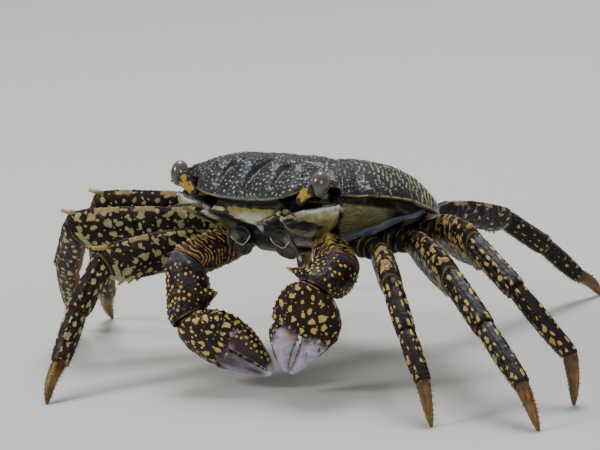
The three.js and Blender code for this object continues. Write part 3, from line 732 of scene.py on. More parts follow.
def shell_surface(sizes):
    """The back shell: its domed top with ridges and granules, its rim and its hollow underside."""
    share = even_shares(SHELL_COLUMNS + 1)
    edge = outline_at(share)
    soft = softened(edge)
    reach = 1 - (1 - np.linspace(0, 1, SHELL_ROWS)) ** 1.45
    rear = (soft[:, 1] / SHELL_OUTLINE[0][1] - 1) / -2
    fullness = SHELL["front"] + (SHELL["rear"] - SHELL["front"]) * np.clip(rear, 0, 1)
    r = reach[:, None]
    near_edge = (r**7)[..., None]
    ring = soft * (1 - near_edge) + edge * near_edge
    top = SHELL["crown"] * (1 - r**fullness) ** SHELL["shoulder"] + ring[..., 2] * r ** SHELL["pull"]
    rows = [np.stack([ring[..., 0] * r, ring[..., 1] * r, top], axis=-1)]
    for scale, drop in RIM:
        rows.append((edge * (scale, scale, 1) + (0, 0, drop))[None])
    under = np.linspace(0.965, 0, UNDER_ROWS)[:, None]
    low = edge[:, 2] * under**2 - SHELL["under"] * (1 - under**6) - 0.4 * under**8
    rows.append(np.stack([edge[:, 0] * under, edge[:, 1] * under, low], axis=-1))
    body = np.concatenate(rows)
    above = np.concatenate([np.ones(SHELL_ROWS), np.zeros(len(RIM) + UNDER_ROWS)])[:, None]
    out = np.concatenate([reach, np.ones(len(RIM)), under[:, 0]])[:, None]
    inner = above * (1 - ease(0.985, 0.9995, out))
    x, y = np.abs(body[..., 0]), body[..., 1]
    plan = np.stack([x, y], axis=-1)
    form, shadow = 0, 0
    for cx, cy, radius, height in LOBES:
        form = form + height * np.exp(-(((x - cx) ** 2 + (y - cy) ** 2) / radius**2))
    for line, width, depth in FURROWS:
        cut = hump(line_gap(plan, line), 0, width)
        form = form - depth * cut
        shadow = np.maximum(shadow, cut * depth)
    form = form + 0.22 * cloud(body, 6, 3)
    lie = body.copy()
    body[..., 2] += form * inner
    surface = Surface(on_body(body), lie)
    spacing = sizes.ridge_spacing / MM
    slant = 2.5 * np.log1p(np.exp((x - 11) / 2.5))  # ridges turn forward on the flanks
    wobble = 0.6 * cloud(lie, 4.5, 11) + 0.2 * cloud(lie, 1.4, 12)
    ridge = hump(((y + slant) / spacing + wobble) % 1, 0.5, 0.2)
    flank = ease(13, 22, x) * ease(-13, -5, y)
    broken = cloud(lie * (0.8, 1.5, 1), 1.7, 14)
    present = np.clip(ease(-0.1, 0.3, broken) + flank * ease(-4, 8, y), 0, 1) * ease(-20, -11, y)
    ridge = ridge * present
    top = np.s_[:SHELL_ROWS, ::2]
    places = scatter(surface.points[top], GRANULE_SPACING, 21, (y < -6)[top], 9000)
    radii = np.random.default_rng(22).uniform(*GRANULE_RADII, len(places))
    grain = dome(nearest(surface.points, places, radii)) * ease(-4, -11, y) * above
    ridges = ridge * (sizes.ridge_height / MM) * (1 + 0.9 * flank)
    surface.swell((ridges + grain * 0.16 + 0.06 * cloud(lie, 0.8, 5)) * inner)
    surface.crest = np.maximum(ridge, grain) * above * (1 - ease(0.994, 0.999, out))
    pale = 0.25 + 0.6 * ease(10, 20, x) * ease(-14, -6, y) + 0.45 * ease(-14, -19, y)
    surface.spot = np.clip(pale, 0, 1)
    surface.dab("#050508", above * np.clip(shadow * 1.2, 0, 0.75))
    gaps = ease(-0.5, 0.1, cloud(lie, 0.9, 31))
    rim = above * ease(0.9975, 0.9992, out) + (1 - above) * (out > 0.999)
    surface.dab("#a08f62", rim * (0.25 + 0.75 * gaps) * (0.55 + 0.45 * ease(-20, -14, y)))
    # Painted shade: the underside of the shell, under its rim, is painted near black.
    surface.dab("#0c0a0b", (1 - above) * (out < 0.999))
    clear_leg(surface)
    return surface


def clear_leg(surface):
    """Pushes the rear corners of the shell up over the last legs."""
    for side_name in SIDES:
        joints = leg_joints(5, side_name)
        start, end = joints[0], joints[1] + 0.35 * (joints[2] - joints[1])
        axis = unit(end - start)
        away = surface.points - start
        along = np.clip(away @ axis, 0, np.linalg.norm(end - start))
        off = away - along[..., None] * axis
        gap = np.linalg.norm(off, axis=-1)
        want = LEG_ROOT[5] + GAP
        push = np.where(gap < want, want - gap, 0)
        surface.points = surface.points + (0, 0, 1) * (push * 0.9)[..., None]


# ---------------------------------------------------------------- trunk and face
TRUNK_COLUMNS = 520
TRUNK_ROWS = 150
LID_ROWS = 8
ORBIT = {"middle": 19.6, "half": 4.6}  # across the body
RIDGE_LEVEL = -4.6  # mean height of the ridge under the eye
# Half width of the face against the height of the ridge under the eye, and, for the cheek, height
# against the rear end of its lobe and half width against the edge of the flank's band.
SUBORBITAL = [(8.5, -8.6), (10, -7.7), (13, -6.1), (18, -4.9), (23.5, -3.5), (26, -3.2)]
LOBE_END = [(-11, -9.5), (-9.5, -11.8), (-8, -15), (-6.6, -17.6), (-4, -19.6), (-3, -20.2)]
BAND_EDGE = [(12, -9), (16.5, -6.5), (20.5, -4), (24.5, -1), (26, 3.5), (27.5, 9)]


def trunk_depth(y):
    """Depth of the body below its rim, along the body."""
    front = TRUNK["middle"] + (TRUNK["front"] - TRUNK["middle"]) * np.clip(-y / 20, 0, 1)
    rear = TRUNK["middle"] + (TRUNK["rear"] - TRUNK["middle"]) * np.clip(y / 24, 0, 1) ** 1.2
    return np.where(y < 0, front, rear)


def shell_under(reach, edge):
    """Height of the shell's underside, at shares of the way out to its edge."""
    return edge * reach**2 - SHELL["under"] * (1 - reach**6)


def suborbital(x):
    """Height of the ridge under the eye, body frame."""
    return curve(SUBORBITAL, x)[..., 0]


def trunk_surface():
    """The body under the shell: a lid, then walls that differ at the face, the eyes and the sides."""
    edge = outline_at(even_shares(TRUNK_COLUMNS + 1))
    x, y = edge[:, 0], edge[:, 1]
    y = y - TRUNK["orbit"] * tent(np.abs(x), ORBIT["middle"], ORBIT["half"])
    k = np.linspace(0, 1, TRUNK_ROWS)
    front = (y < 0) * ease(0, 0.6, 1 - np.abs(x) / 15)
    orbit = (y < -8) * ease(9.5, 13.0, np.abs(x)) * (1 - ease(22.5, 25.2, np.abs(x)))
    front = front * (1 - orbit)
    wall = 0
    for table, weight in ((SIDE_WALL, 1 - front - orbit), (FACE_WALL, front), (ORBIT_WALL, orbit)):
        wall = wall + curve(table, k)[:, None, :] * weight[None, :, None]
    inward, deep = wall[..., 0] * TRUNK["inset"], wall[..., 1]
    rim = shell_under(TRUNK["inset"], edge[:, 2]) - GAP
    jaw = TRUNK["jaw"] * front * ease(0.25, 1, y * inward / -12)
    z = rim * (1 - deep) - (trunk_depth(y * inward) + 0.6 + jaw) * deep
    body = np.stack([x * inward, y * inward, z], axis=-1)
    lid = np.linspace(0, 0.97, LID_ROWS)[:, None] * inward[0]
    lid = np.stack([x * lid, y * lid, np.broadcast_to(np.minimum(rim, z[0]), lid.shape)], axis=-1)
    body = np.concatenate([lid, body])
    a = np.abs(body[..., 0])
    level = np.concatenate([np.full(LID_ROWS, -1.0), k])[:, None]
    near = orbit[None, :] * hump(level, 0.24, 0.12)
    body[..., 2] += near * np.clip(suborbital(a) - RIDGE_LEVEL, -3, 1.4)
    return Surface(on_body(body), body)


def face_finish(surface, colours):
    """Relief and paint of the face and flanks, by place in the body frame."""
    lie = surface.lie
    a, y, z = np.abs(lie[..., 0]), lie[..., 1], lie[..., 2]
    front = ease(-12, -16, y)
    rough = cloud(lie, 1.2, 4)
    ridge = suborbital(np.clip(a, 8.5, 26))
    brow = front * ease(9.6, 10.6, a) * (1 - ease(24, 26, a))
    bead = 0.5 + 0.5 * np.sin(a * 7.5)
    height = brow * hump(z, ridge, 0.4) * (0.3 + 0.2 * bead)
    height = height + brow * hump(z, ridge - 2.6, 1.8) * 0.7
    low_edge = -8.75 + 2.3 * np.clip(a / 6.5, 0, 1.2) ** 1.6 + 0.25 * rough
    high_edge = -5.15 - 0.3 * (0.5 + 0.5 * np.cos(a * 2.1)) + 0.25 * rough
    plate = ease(6.9, 6.4, a + 0.4 * rough) * ease(high_edge + 0.15, high_edge - 0.15, z)
    plate = plate * ease(low_edge - 0.15, low_edge + 0.15, z) * front
    height = height + plate * 0.55
    knob = ((a - 8.7) / 1.15) ** 2 + ((z + 6.2) / 0.52) ** 2 + 0.5 * rough
    knob = ease(1.25, 0.75, knob) * front
    height = height + knob * 0.5
    mouth = ease(7.2, 6.0, a) * ease(-8.9, -9.7, z) * ease(-16.5, -15, z) * ease(-13, -15, y)
    lobe_end = curve(LOBE_END, z)[..., 0]
    cheek_start = -16.2 + 1.25 * (-3.8 - z) + 0.3 * rough
    edge_y = curve(BAND_EDGE, a)[..., 0]
    flank = ease(cheek_start - 0.3, cheek_start + 0.3, y) * ease(16, 8, y)
    flank = flank * ease(-13, -12, z) * ease(11, 12, a)
    band = flank * ease(edge_y, edge_y + 0.6, y) * ease(edge_y + 6, edge_y + 4.6, y)
    surface.swell(height + band * 0.4 + 0.1 * cloud(lie, 2.5, 9))
    surface.coat(colours.skin_dark)
    under = ease(-11, -14, z) * ease(-17, -14, y)
    surface.dab("#4f4a33", under)
    surface.dab("#1f1c16", under * ease(0.1, 0.5, cloud(lie, 3.0, 15)) * 0.6)
    side_front = ease(-9.5, -11.5, y) * ease(9.0, 10.0, a)
    foot = -11.0 + 0.22 * (a - 10) + 0.2 * rough
    lobe = side_front * ease(ridge + 0.1, ridge - 0.4, z) * ease(foot - 0.4, foot, z)
    lobe = lobe * ease(lobe_end + 0.4, lobe_end - 0.4, y + 0.3 * rough)
    surface.dab("#4b4527", front * ease(-8.4, -9.4, z) * ease(5.5, 7.0, a) * 0.9)
    surface.dab("#7d7742", lobe)
    surface.dab(colours.skin_cream, lobe * ease(ridge - 2.2, ridge - 0.8, z + 0.4 * rough) * 0.8)
    near = ((a - 14.3) / 3.2) ** 2 + ((z + 8.1 - 0.12 * (a - 14.3)) / 0.92) ** 2
    far = ((a - 11.9) / 2.9) ** 2 + ((z + 7.8 - 0.66 * (a - 11.9)) / 0.7) ** 2
    patch = np.where(lie[..., 0] > 0, near, far) + 0.5 * rough
    surface.dab("#0f0908", side_front * ease(1.15, 0.85, patch))
    surface.dab("#d9d6cb", brow * hump(z, ridge, 0.36) * (0.75 + 0.25 * bead))
    cheek = flank * ease(edge_y + 0.4, edge_y - 0.4, y) * ease(-2.3, -3.0, z)
    streak = np.sin((y - edge_y) * 4.2 + 1.6 * cloud(lie, 2.0, 6)) + 0.6 * cloud(lie, 1.5, 16)
    streak = ease(0.1, 0.75, streak)
    fading = ease(0.0, -6.5, y + 1.2 * cloud(lie, 3, 8))
    surface.dab(colours.skin_olive, cheek * fading * (1 - 0.55 * streak))
    surface.dab(colours.skin_blue, band * ease(12, 6, y))
    surface.dab("#8a8440", plate)
    middle = plate * ease(5.2, 2.6, a + 0.6 * rough) * ease(high_edge - 0.6, high_edge - 2.4, z)
    surface.dab("#b4b5a6", middle * 0.85)
    surface.dab("#c3bd86", knob)
    # Painted shade: the mouth's recess between the plates is painted near black.
    surface.dab("#070606", mouth)
    lip = hump(z, low_edge - 0.45 - 0.12 * np.sin(a * 3), 0.17) * ease(-14.5, -16, y)
    surface.dab("#c4a195", lip * ease(6.6, 6.1, a) * ease(0.5, 0.9, a))
    wedge = ease(1.3, 0.9, a + np.clip(-9.2 - z, 0, 3) * 0.55) * hump(z, -9.8, 0.75)
    surface.dab("#b9c4d2", front * wedge)
    surface.crest = plate * 0.2


def flap_surface(trunk_node):
    """The folded tail, a tapering plate of seven rings under the trunk."""
    points = np.array([list(v.co) for v in trunk_node.data.vertices]) / MM
    body = (points + CENTRE - (0, 0, BODY["height"])) @ TILT
    middle = body[np.abs(body[:, 0]) < 0.6]
    order = np.argsort(middle[:, 1])
    rows = np.linspace(0, 1, 90)
    y = FLAP_WIDTH[0][0] + (FLAP_WIDTH[-1][0] - FLAP_WIDTH[0][0]) * rows
    z = np.interp(y, middle[order, 1], middle[order, 2])
    z = np.convolve(np.pad(z, 6, "edge"), np.ones(13) / 13, "valid")
    width = curve(FLAP_WIDTH, y)[:, 0]
    rings = ease(0.86, 1.0, np.abs(np.sin(math.pi * (y + 2) / 3.4 + math.pi / 2)))
    width = width * (1 - 0.05 * rings)
    angle = np.linspace(0, 2 * math.pi, 121)[None, :]
    thick = 0.5 * (1 - 0.35 * rings)[:, None] * np.abs(np.sin(angle)) ** 0.7 * np.sign(np.sin(angle))
    side = np.cos(angle) * width[:, None]
    body = np.stack([side, np.broadcast_to(y[:, None], side.shape), z[:, None] + thick], axis=-1)
    spine = np.stack([np.zeros_like(y), y, z], axis=-1)
    head, foot = ([spine[i] + (body[i] - spine[i]) * share for share in (0.0, 0.8)] for i in (0, -1))
    body = np.concatenate([head, body, foot[::-1]])
    surface = Surface(on_body(body), body)
    shade = np.concatenate([[1, 1], rings, [1, 1]])[:, None]
    surface.coat("#8b8258")
    surface.dab("#4a4228", shade * 0.7)
    return surface


# ---------------------------------------------------------------- legs
THIGH_BASE = [(0, 1.0, 1.0), (0.5, 1.08, 1.04), (0.88, 1.0, 0.98), (1, 0.86, 0.84)]
FLOOR_PLANE = (np.zeros(3), np.array((0.0, 0.0, -1.0)), 0.0)
CREST_BARS = {  # where a right thigh's tan bars begin and end, along it
    2: [(19.5, 24.0)],
    3: [(13.1, 15.7), (20.1, 24.4), (28.6, 34.0)],
    4: [(21.5, 25.0), (31.8, 34.9)],
}
# How far the blotches of a left thigh are drawn out along it.
DASHED = {("left", 2): 2.0, ("left", 3): 2.3, ("left", 4): 2.3, ("left", 5): 1.5}
# Bristles: angles of their lines round the segment, how many along each line, where the lines
# begin and end, length and radius.
TOE_LINES, SHIN_LINES = (0.5, 1.6, 2.6, 3.7, 4.7, 5.8), (0.7, 2.4, 3.2, 3.9, 5.6)
TOE_BRISTLES = (TOE_LINES, 9, (0.08, 0.82), 0.85, 0.13)
SHIN_BRISTLES = (SHIN_LINES, 12, (0.1, 0.98), 1.15, 0.075)
KNEE_BRISTLES = (SHIN_LINES, 6, (0.1, 0.98), 1.15, 0.075)


def leg_base(number, joints, frames, colours):
    """The round root of a leg, grooved and crossed by pale arcs."""
    bend = parting(joints, frames, 1, 0)
    root = (LEG_ROOT[number], LEG_ROOT[number])
    hip = Segment(joints, frames, 0, THIGH_BASE, root, GRID["hip"], (None, bend), sharp=1.0)
    t = hip.t
    rings = 0.35 * hump(t, 0.45, 0.07) - 0.4 * hump(t, 0.62, 0.05)
    hip.relief(rings + 0.05 * cloud(hip.points, 1.6, number))
    hip.stain("#1a191b", 0.75)
    for at, width in ((0.36, 0.03), (0.5, 0.025), (0.74, 0.03)):
        arc = hump(t, at + 0.02 * cloud(hip.points, 2, number), width)
        hip.dab("#8a8250", arc * ease(-0.5, 0.2, cloud(hip.points, 1.5, number + 2)) * 0.85)
    worn = ease(-0.2, 0.4, cloud(hip.points, 1.2, number))
    hip.stain(colours.joint, ease(0.9, 0.97, t) * 0.5 * worn)
    return hip


def crest_bars(side_name, number, lie, seed):
    """Tan bars along a thigh's upper edge: at set places on the right side, scattered on the left."""
    along = cloud(lie * (1, 0, 0), 3.0, seed + 7)
    if side_name == "left" or number not in CREST_BARS:
        return ease(0.12, 0.26, along)
    place = lie[..., 0] + 0.4 * along
    bars = CREST_BARS[number]
    return sum(ease(low - 0.3, low, place) * ease(high + 0.3, high, place) for low, high in bars)


def long_segment(number, side_name, joints, frames, sizes, colours):
    """The broad flat segment, with teeth under its far end; its spines are made as a piece of their own."""
    seed = number * 10 + (side_name == "left")

    def grow(t, turn):
        under = np.pi - np.abs(turn)
        teeth = sum(0.08 * tent(t, at, 0.035) for at in (0.79, 0.86, 0.93, 0.985)) * hump(under, 0, 0.3)
        return teeth + 0.12 * tent(t, 0.93, 0.14) * hump(under, 0, 0.6)

    size = (LEG_WIDE[number][0], LEG_THICK[number][0])
    planes = (parting(joints, frames, 1, 0), parting(joints, frames, 2, -1))
    thigh = Segment(joints, frames, 1, THIGH, size, GRID["thigh"], planes, grow, lip=SOCKET)
    t, lie, aside = thigh.t, thigh.lie, np.abs(thigh.turn)
    across = np.abs(lie[..., 1]) / size[0]
    wave = 0.8 * cloud(lie * (1, 0.5, 0.5), 3.2, seed)
    phase = (lie[..., 0] - 0.55 * np.abs(lie[..., 1])) / 1.35 + wave
    rugae = hump(phase % 1, 0.5, 0.2) * ease(-0.3, 0.35, cloud(lie * (1.2, 0.6, 1), 2.2, seed + 3))
    rugae = rugae * ease(-0.55, 0.2, lie[..., 1] / size[0]) * (0.45 + 0.55 * ease(0.3, 0.8, across))
    keel = hump(aside, 0, 0.17)
    beads = 0.5 + 0.5 * np.cos(lie[..., 0] * 4.6)
    rim = ease(0.955, 0.975, t)
    relief = 0.1 * rugae + keel * (0.14 + 0.1 * beads) + 0.14 * hump(aside, 2.62, 0.1) + 0.1 * rim
    thigh.relief(relief + 0.07 * cloud(lie, 1.4, seed + 5))
    thigh.crest = rugae * 0.8 * thigh.body
    stretch = DASHED.get((side_name, number), 1.0)
    free = (aside > 0.22) * (t > 0.04) * (t < 0.94)
    last, right = (side_name, number) == ("left", 5), side_name == "right"
    spacing = sizes.blotch_spacing / MM * (0.9 if right else 0.72)
    share = (0.1, 0.24) if last else (0.22, 0.46)
    blotches(thigh, spacing, seed, share, free, stretch, (1.1, 0.9), 0.4 if right else 0.6)
    if not last:
        blotches(thigh, spacing * 0.6, seed + 9, (0.14, 0.3), free, stretch, (1, 1), 0.5)
    bars = crest_bars(side_name, number, lie, seed) * ease(0.06, 0.1, t) * ease(0.9, 0.86, t)
    thigh.stain("#99805a", bars * ease(0.55, 0.38, aside + 0.08 * cloud(lie, 1, seed)) * 0.95)
    thigh.stain("#6f5a34", ease(0.982, 0.99, t) * 0.8)
    uneven = 0.2 * cloud(lie, 1.5, seed + 2)
    bar = hump(t + 0.03 * uneven, 0.945, 0.024) * ease(1.2, 1.4, aside + uneven)
    foot = ease(2.25, 2.45, aside + uneven) * ease(0.83, 0.88, t)
    thigh.stain("#aaa476", ease(0.4, 0.6, np.maximum(bar, foot)) * (0.9 if right else 0.5))
    # Painted reflection: on the last left leg the ridges are painted grey lilac, standing in for the sky
    # seen on them.
    if last:
        thigh.stain("#6f6b78", rugae * 0.7)
    tips = hump(np.pi - aside, 0, 0.24) * ease(0.93, 0.96, t)
    thigh.stain(colours.joint, ease(0.3, 0.7, tips) * 0.8)
    thigh.hollow()
    return thigh


def short_segment(number, side_name, section, joints, frames, colours):
    """The knee (section 2) or the shin (section 3): ridged, and blotched between the ridges."""
    seed = number * 20 + section + 100 * (side_name == "left")
    knee = section == 2
    outline = KNEE_SEGMENT if knee else SHIN
    size = (LEG_WIDE[number][section - 1], LEG_THICK[number][section - 1])
    planes = (parting(joints, frames, section, 1), parting(joints, frames, section + 1, -1))

    def grow(t, turn):
        corner = 0.16 * tent(t, 0.95, 0.1) * hump(np.abs(turn), 0.5, 0.3) * knee
        return corner + 0.05 * hump(np.abs(turn), np.pi, 0.3) * tent(t, 0.97, 0.06)

    shape = {"sharp": 1.0, "neck": KNEE, "lip": SOCKET}
    shin = Segment(joints, frames, section, outline, size, GRID["shin"], planes, grow, **shape)
    t, lie, aside = shin.t, shin.lie, np.abs(shin.turn)
    ridges = 0.26 * hump(aside, 0.55, 0.13) - 0.16 * hump(aside, 0.85, 0.16) + 0.16 * hump(aside, 1.25, 0.16)
    ridges = ridges + 0.14 * hump(aside, 2.3, 0.16) - 0.06 * hump(aside, 0, 0.3)
    rugae = ease(0.2, 0.8, cloud(lie * (1.5, 0.7, 0.7), 0.9, seed)) * ease(0.35, 0.6, aside)
    rim = ease(0.95, 0.975, t)
    shin.relief(ridges + 0.07 * rugae + 0.08 * rim + 0.05 * cloud(lie, 1.2, seed + 1))
    shin.crest = 0.5 * rugae * shin.body
    free = (aside > 0.3) * (aside < 2.8) * (t > 0.03) * (t < 0.96)
    sparse = (side_name, number) == ("left", 5)
    share = (0.1, 0.22) if sparse else (0.2, 0.46)
    blotches(shin, 1.5, seed, share, free, 1.5, (1.0, 0.95), 0.6)
    worn = ease(-0.4, 0.2, cloud(lie, 1.5, seed))
    shin.stain(colours.joint, rim * 0.6 * ease(0.9, 1.8, aside) * worn)
    shin.stain("#8b5d22", hump(aside, np.pi, 0.55) * 0.5)
    shin.dab("#c9a862", ease(0.4, 0.8, hump(aside, 0.5, 0.25) * tent(t, 0.97, 0.06)) * knee)
    shin.hollow()
    # Painted shade: the neck that sits inside the socket before it is darkened.
    shin.dab("#1b1014", (t < 0) * 0.6)
    return shin


def toe_segment(number, side_name, joints, frames):
    """The last segment, grooved and curved, standing on its own small flat."""
    seed = number * 30 + 7 * (side_name == "left")
    size = (LEG_WIDE[number][3], LEG_THICK[number][3])
    planes = (parting(joints, frames, 4, 1), FLOOR_PLANE)
    shape = {"arch": TOE_ARCH, "sharp": 1.0, "neck": KNEE[:-1], "lip": FLAT_END}
    toe = Segment(joints, frames, 4, TOE, size, GRID["toe"], planes, **shape)
    t, aside, lie = toe.t, np.abs(toe.turn), toe.lie
    taper = 1 - 0.75 * np.clip(t, 0, 1)
    groove = 0.2 * hump(aside, 0.62, 0.16) - 0.26 * hump(aside, 1.15, 0.2) + 0.16 * hump(aside, 1.75, 0.18)
    toe.relief((groove + 0.04 * cloud(lie, 1.0, seed)) * taper)
    streak = ease(-0.1, 0.5, cloud(lie * (0.35, 1, 1), 0.9, seed + 1))
    toe.stain("#4a2a14", hump(aside, 1.15, 0.3) * streak * 0.8)
    toe.stain("#3a2018", (1 - ease(0.05, 0.24, t)) * 0.75)
    toe.stain("#c98a3a", hump(aside, 0.0, 0.4) * streak * 0.6)
    toe.dab("#7a4a1c", ease(0.9, 0.97, t) * 0.9)
    return toe


def cone_template(sides, blunt):
    """Points and faces of a straight spike one unit long."""
    bpy.ops.object.select_all(action="DESELECT")
    bpy.ops.mesh.primitive_cone_add(vertices=sides, radius1=1, radius2=blunt, depth=1, location=(0, 0, 0.5))
    spike = bpy.context.object
    select_only(spike)
    bpy.ops.object.mode_set(mode="EDIT")
    bpy.ops.mesh.select_all(action="SELECT")
    bpy.ops.mesh.quads_convert_to_tris()
    bpy.ops.object.mode_set(mode="OBJECT")
    bpy.ops.object.transform_apply(location=True, rotation=False, scale=False)
    points = np.array([list(v.co) for v in spike.data.vertices])
    faces = [list(f.vertices) for f in spike.data.polygons]
    bpy.data.meshes.remove(spike.data)
    return points, faces


def joined_spikes(name, roots, tips, radii, sides, blunt):
    """One mesh of many spikes, each from a root to a tip."""
    points, faces = cone_template(sides, blunt)
    vertices, polygons = [], []
    for root, tip, radius in zip(roots, tips, radii):
        away = tip - root
        length = np.linalg.norm(away)
        turned = np.array(Vector((0, 0, 1)).rotation_difference(Vector(away)).to_matrix())
        placed = (points * (radius, radius, length)) @ turned.T + root
        first = len(vertices) * len(points)
        polygons += [[first + corner for corner in face] for face in faces]
        vertices.append(placed)
    mesh = bpy.data.meshes.new(name)
    mesh.from_pydata((np.concatenate(vertices) * MM).tolist(), [], polygons)
    mesh.uv_layers.new(name="OFBake")
    piece = bpy.data.objects.new(name, mesh)
    bpy.context.scene.collection.objects.link(piece)
    select_only(piece)
    bpy.ops.object.mode_set(mode="EDIT")
    bpy.ops.mesh.select_all(action="SELECT")
    bpy.ops.mesh.normals_make_consistent(inside=False)
    bpy.ops.uv.cube_project(cube_size=BAKE_CUBE)
    bpy.ops.object.mode_set(mode="OBJECT")
    bpy.ops.object.shade_smooth()
    return piece


def bristle_set(surface, seed, lines, count, span, length, radius):
    """Roots, tips and radii of bristles along lines of a segment."""
    random = np.random.default_rng(seed)
    normal = normals_of(surface.points)
    body = np.flatnonzero(surface.body[:, 0] > 0)
    last_column = surface.points.shape[1] - 1
    roots, tips, radii = [], [], []
    for line in lines:
        for place in np.linspace(*span, count):
            place = place + random.uniform(-0.4, 0.4) * (span[1] - span[0]) / count
            row = body[int(np.clip(place, 0, 1) * (len(body) - 1))]
            around = (line + random.uniform(-0.09, 0.09)) % (2 * math.pi)
            column = int(around / (2 * math.pi) * last_column)
            here, out = surface.points[row, column], normal[row, column]
            lean = unit(out + surface.axis * random.uniform(0.5, 1.0) + random.uniform(-0.15, 0.15, 3))
            size = length * random.uniform(0.75, 1.15)
            roots.append(here - out * 0.12)
            tips.append(here + lean * size)
            radii.append(radius)
    return roots, tips, radii


def spine_set(number, thigh):
    """Roots, tips and radii of the spines at the far end of a long segment."""
    normal = normals_of(thigh.points)
    body = np.flatnonzero(thigh.body[:, 0] > 0)
    half_turn = (thigh.points.shape[1] - 1) // 2
    roots, tips, radii = [], [], []
    # Place along the segment, column, how far the tip is out and ahead, radius: one spine over
    # the end and three under it.
    for place, column, out, ahead, radius in (
        (0.935, 0, 0.45, 2.7, 0.78),
        (0.8, half_turn, 0.3, 0.3, 0.4),
        (0.865, half_turn, 0.4, 0.4, 0.45),
        (0.93, half_turn, 0.5, 0.7, 0.5),
    ):
        if number == 5 and column == 0:
            continue
        row = body[int(place * (len(body) - 1))]
        here = thigh.points[row, column]
        roots.append(here - normal[row, column] * 0.55 - thigh.axis * 0.6)
        tips.append(here + thigh.up * (out if column == 0 else -out) + thigh.axis * ahead)
        radii.append(radius)
    return roots, tips, radii


# ---------------------------------------------------------------- claws
TOOTH_HEIGHT = 0.17
# Distance between knobs and their smallest and largest radius.
KNOBS = {"cuff": (0.98, 0.18, 0.6), "palm": (1.45, 0.4, 0.66), "thumb": (1.15, 0.3, 0.52)}


def knob_spots(surface, kind, seed, allowed):
    """Centres and radii of the knobs on the allowed part of a claw segment."""
    spacing, small, large = KNOBS[kind]
    centres = scatter(surface.points, spacing, seed, np.broadcast_to(allowed, surface.spot.shape))
    return centres, np.random.default_rng(seed).uniform(small, large, len(centres))


def arm_segment(side_name, joints, frames, colours):
    """The first claw segment, crossed by scaly ridges with pale edges."""
    seed = 300 + 40 * (side_name == "left")
    planes = (None, parting(joints, frames, 1, -1))
    arm = Segment(joints, frames, 0, ARM, ARM_SIZE, GRID["arm"], planes, sharp=1.0)
    t, lie = arm.t, arm.lie
    phase = lie[..., 0] / 1.05 + 0.9 * cloud(lie, 3.0, seed) + 0.35 * np.cos(arm.angle * 3)
    scales = hump(phase % 1, 0.62, 0.22) * ease(-0.55, -0.1, cloud(lie * (1.5, 0.9, 0.9), 1.3, seed + 1))
    crest = hump(arm.off((0, 0, 1)), 0.15, 0.2) * ease(0.15, 0.3, t)
    teeth = 0.5 + 0.5 * np.cos(lie[..., 0] * 4.2)
    rim = ease(0.95, 0.972, t)
    arm.relief(0.28 * scales + crest * (0.4 + 0.6 * teeth) + 0.12 * rim + 0.1 * cloud(lie, 2, seed + 2))
    arm.crest = scales * arm.body
    arm.stain("#45242a", 0.3 * ease(-0.4, 0.4, cloud(lie, 3.5, seed + 3)))
    edges = scales * ease(-0.5, 0.0, cloud(lie * (2.0, 1, 1), 0.9, seed + 6))
    arm.stain("#bb9c50", ease(0.3, 0.65, edges) * 0.95)
    arm.stain(colours.claw_spot, crest * ease(0.35, 0.8, teeth) * 0.85)
    lobe = hump(arm.off((0, -0.6, -1)), 0, 0.5) * hump(t, 0.9, 0.1)
    arm.dab(colours.joint, ease(0.4, 0.8, lobe) * 0.8)
    arm.stain("#a5765c", ease(0.972, 0.985, t) * 0.7)
    arm.hollow()
    return arm


def cuff_segment(side_name, joints, frames):
    """The second claw segment, set with pale knobs and an inner spine."""
    seed = 340 + 40 * (side_name == "left")
    degrees, place, long = CLAW[side_name]["spine"]

    def grow(t, turn):
        off = wrapped(turn - math.radians(degrees))
        spine = 0.62 * tent(t, place, 0.24) * hump(off, 0, 0.36)
        return long * (spine + 0.38 * hump(t, place, 0.24) * hump(off, 0, 0.6))

    planes = (parting(joints, frames, 1, 1), parting(joints, frames, 2, -1))
    cuff = Segment(joints, frames, 1, CUFF, CUFF_SIZE, GRID["cuff"], planes, grow, sharp=1.0)
    t, lie = cuff.t, cuff.lie
    spine = grow(t, cuff.turn) / long
    free = (t > 0.14) * (t < 0.94) * (spine < 0.55)
    centres, radii = knob_spots(cuff, "cuff", seed, free)
    knobs = dome(nearest(cuff.points, centres, radii))
    rim = ease(0.94, 0.965, t)
    cuff.relief(0.3 * knobs + 0.1 * rim + 0.08 * cloud(lie, 2.2, seed + 1))
    cuff.spot = np.where(knobs > 0, nearest(cuff.points, centres, radii * 0.8), cuff.spot)
    # Painted reflection: grey-blue clouds over the wrist, and a grey-blue band round its near end, are
    # painted sky highlights.
    band = 1 - ease(0.14, 0.26, t + 0.03 * cloud(lie, 2, seed + 4))
    cuff.stain("#4f5262", ease(0.0, 0.6, cloud(lie, 1.3, seed + 9)) * 0.22)
    cuff.stain("#3c4250", band * (0.45 + 0.4 * ease(-0.4, 0.4, cloud(lie * (2, 1, 1), 1.2, seed + 5))))
    cuff.stain("#a98e62", (1 - ease(0.012, 0.02, t)) * 0.7)
    cuff.dab("#bfa35a", ease(0.5, 0.7, spine) * 0.9)
    cuff.stain("#8f6d35", ease(0.965, 0.98, t) * 0.8 * ease(-0.3, 0.2, cloud(lie, 1.5, seed + 8)))
    cuff.hollow()
    return cuff


def finger_teeth(place, facing, seed):
    """Blunt uneven teeth along the biting edge."""
    wave = np.abs(np.sin(place * 46 + 1.7 * np.sin(place * 17 + seed))) ** 1.5
    return TOOTH_HEIGHT * wave * hump(facing, 0, 0.3) * ease(0.575, 0.62, place) * ease(1.0, 0.95, place)


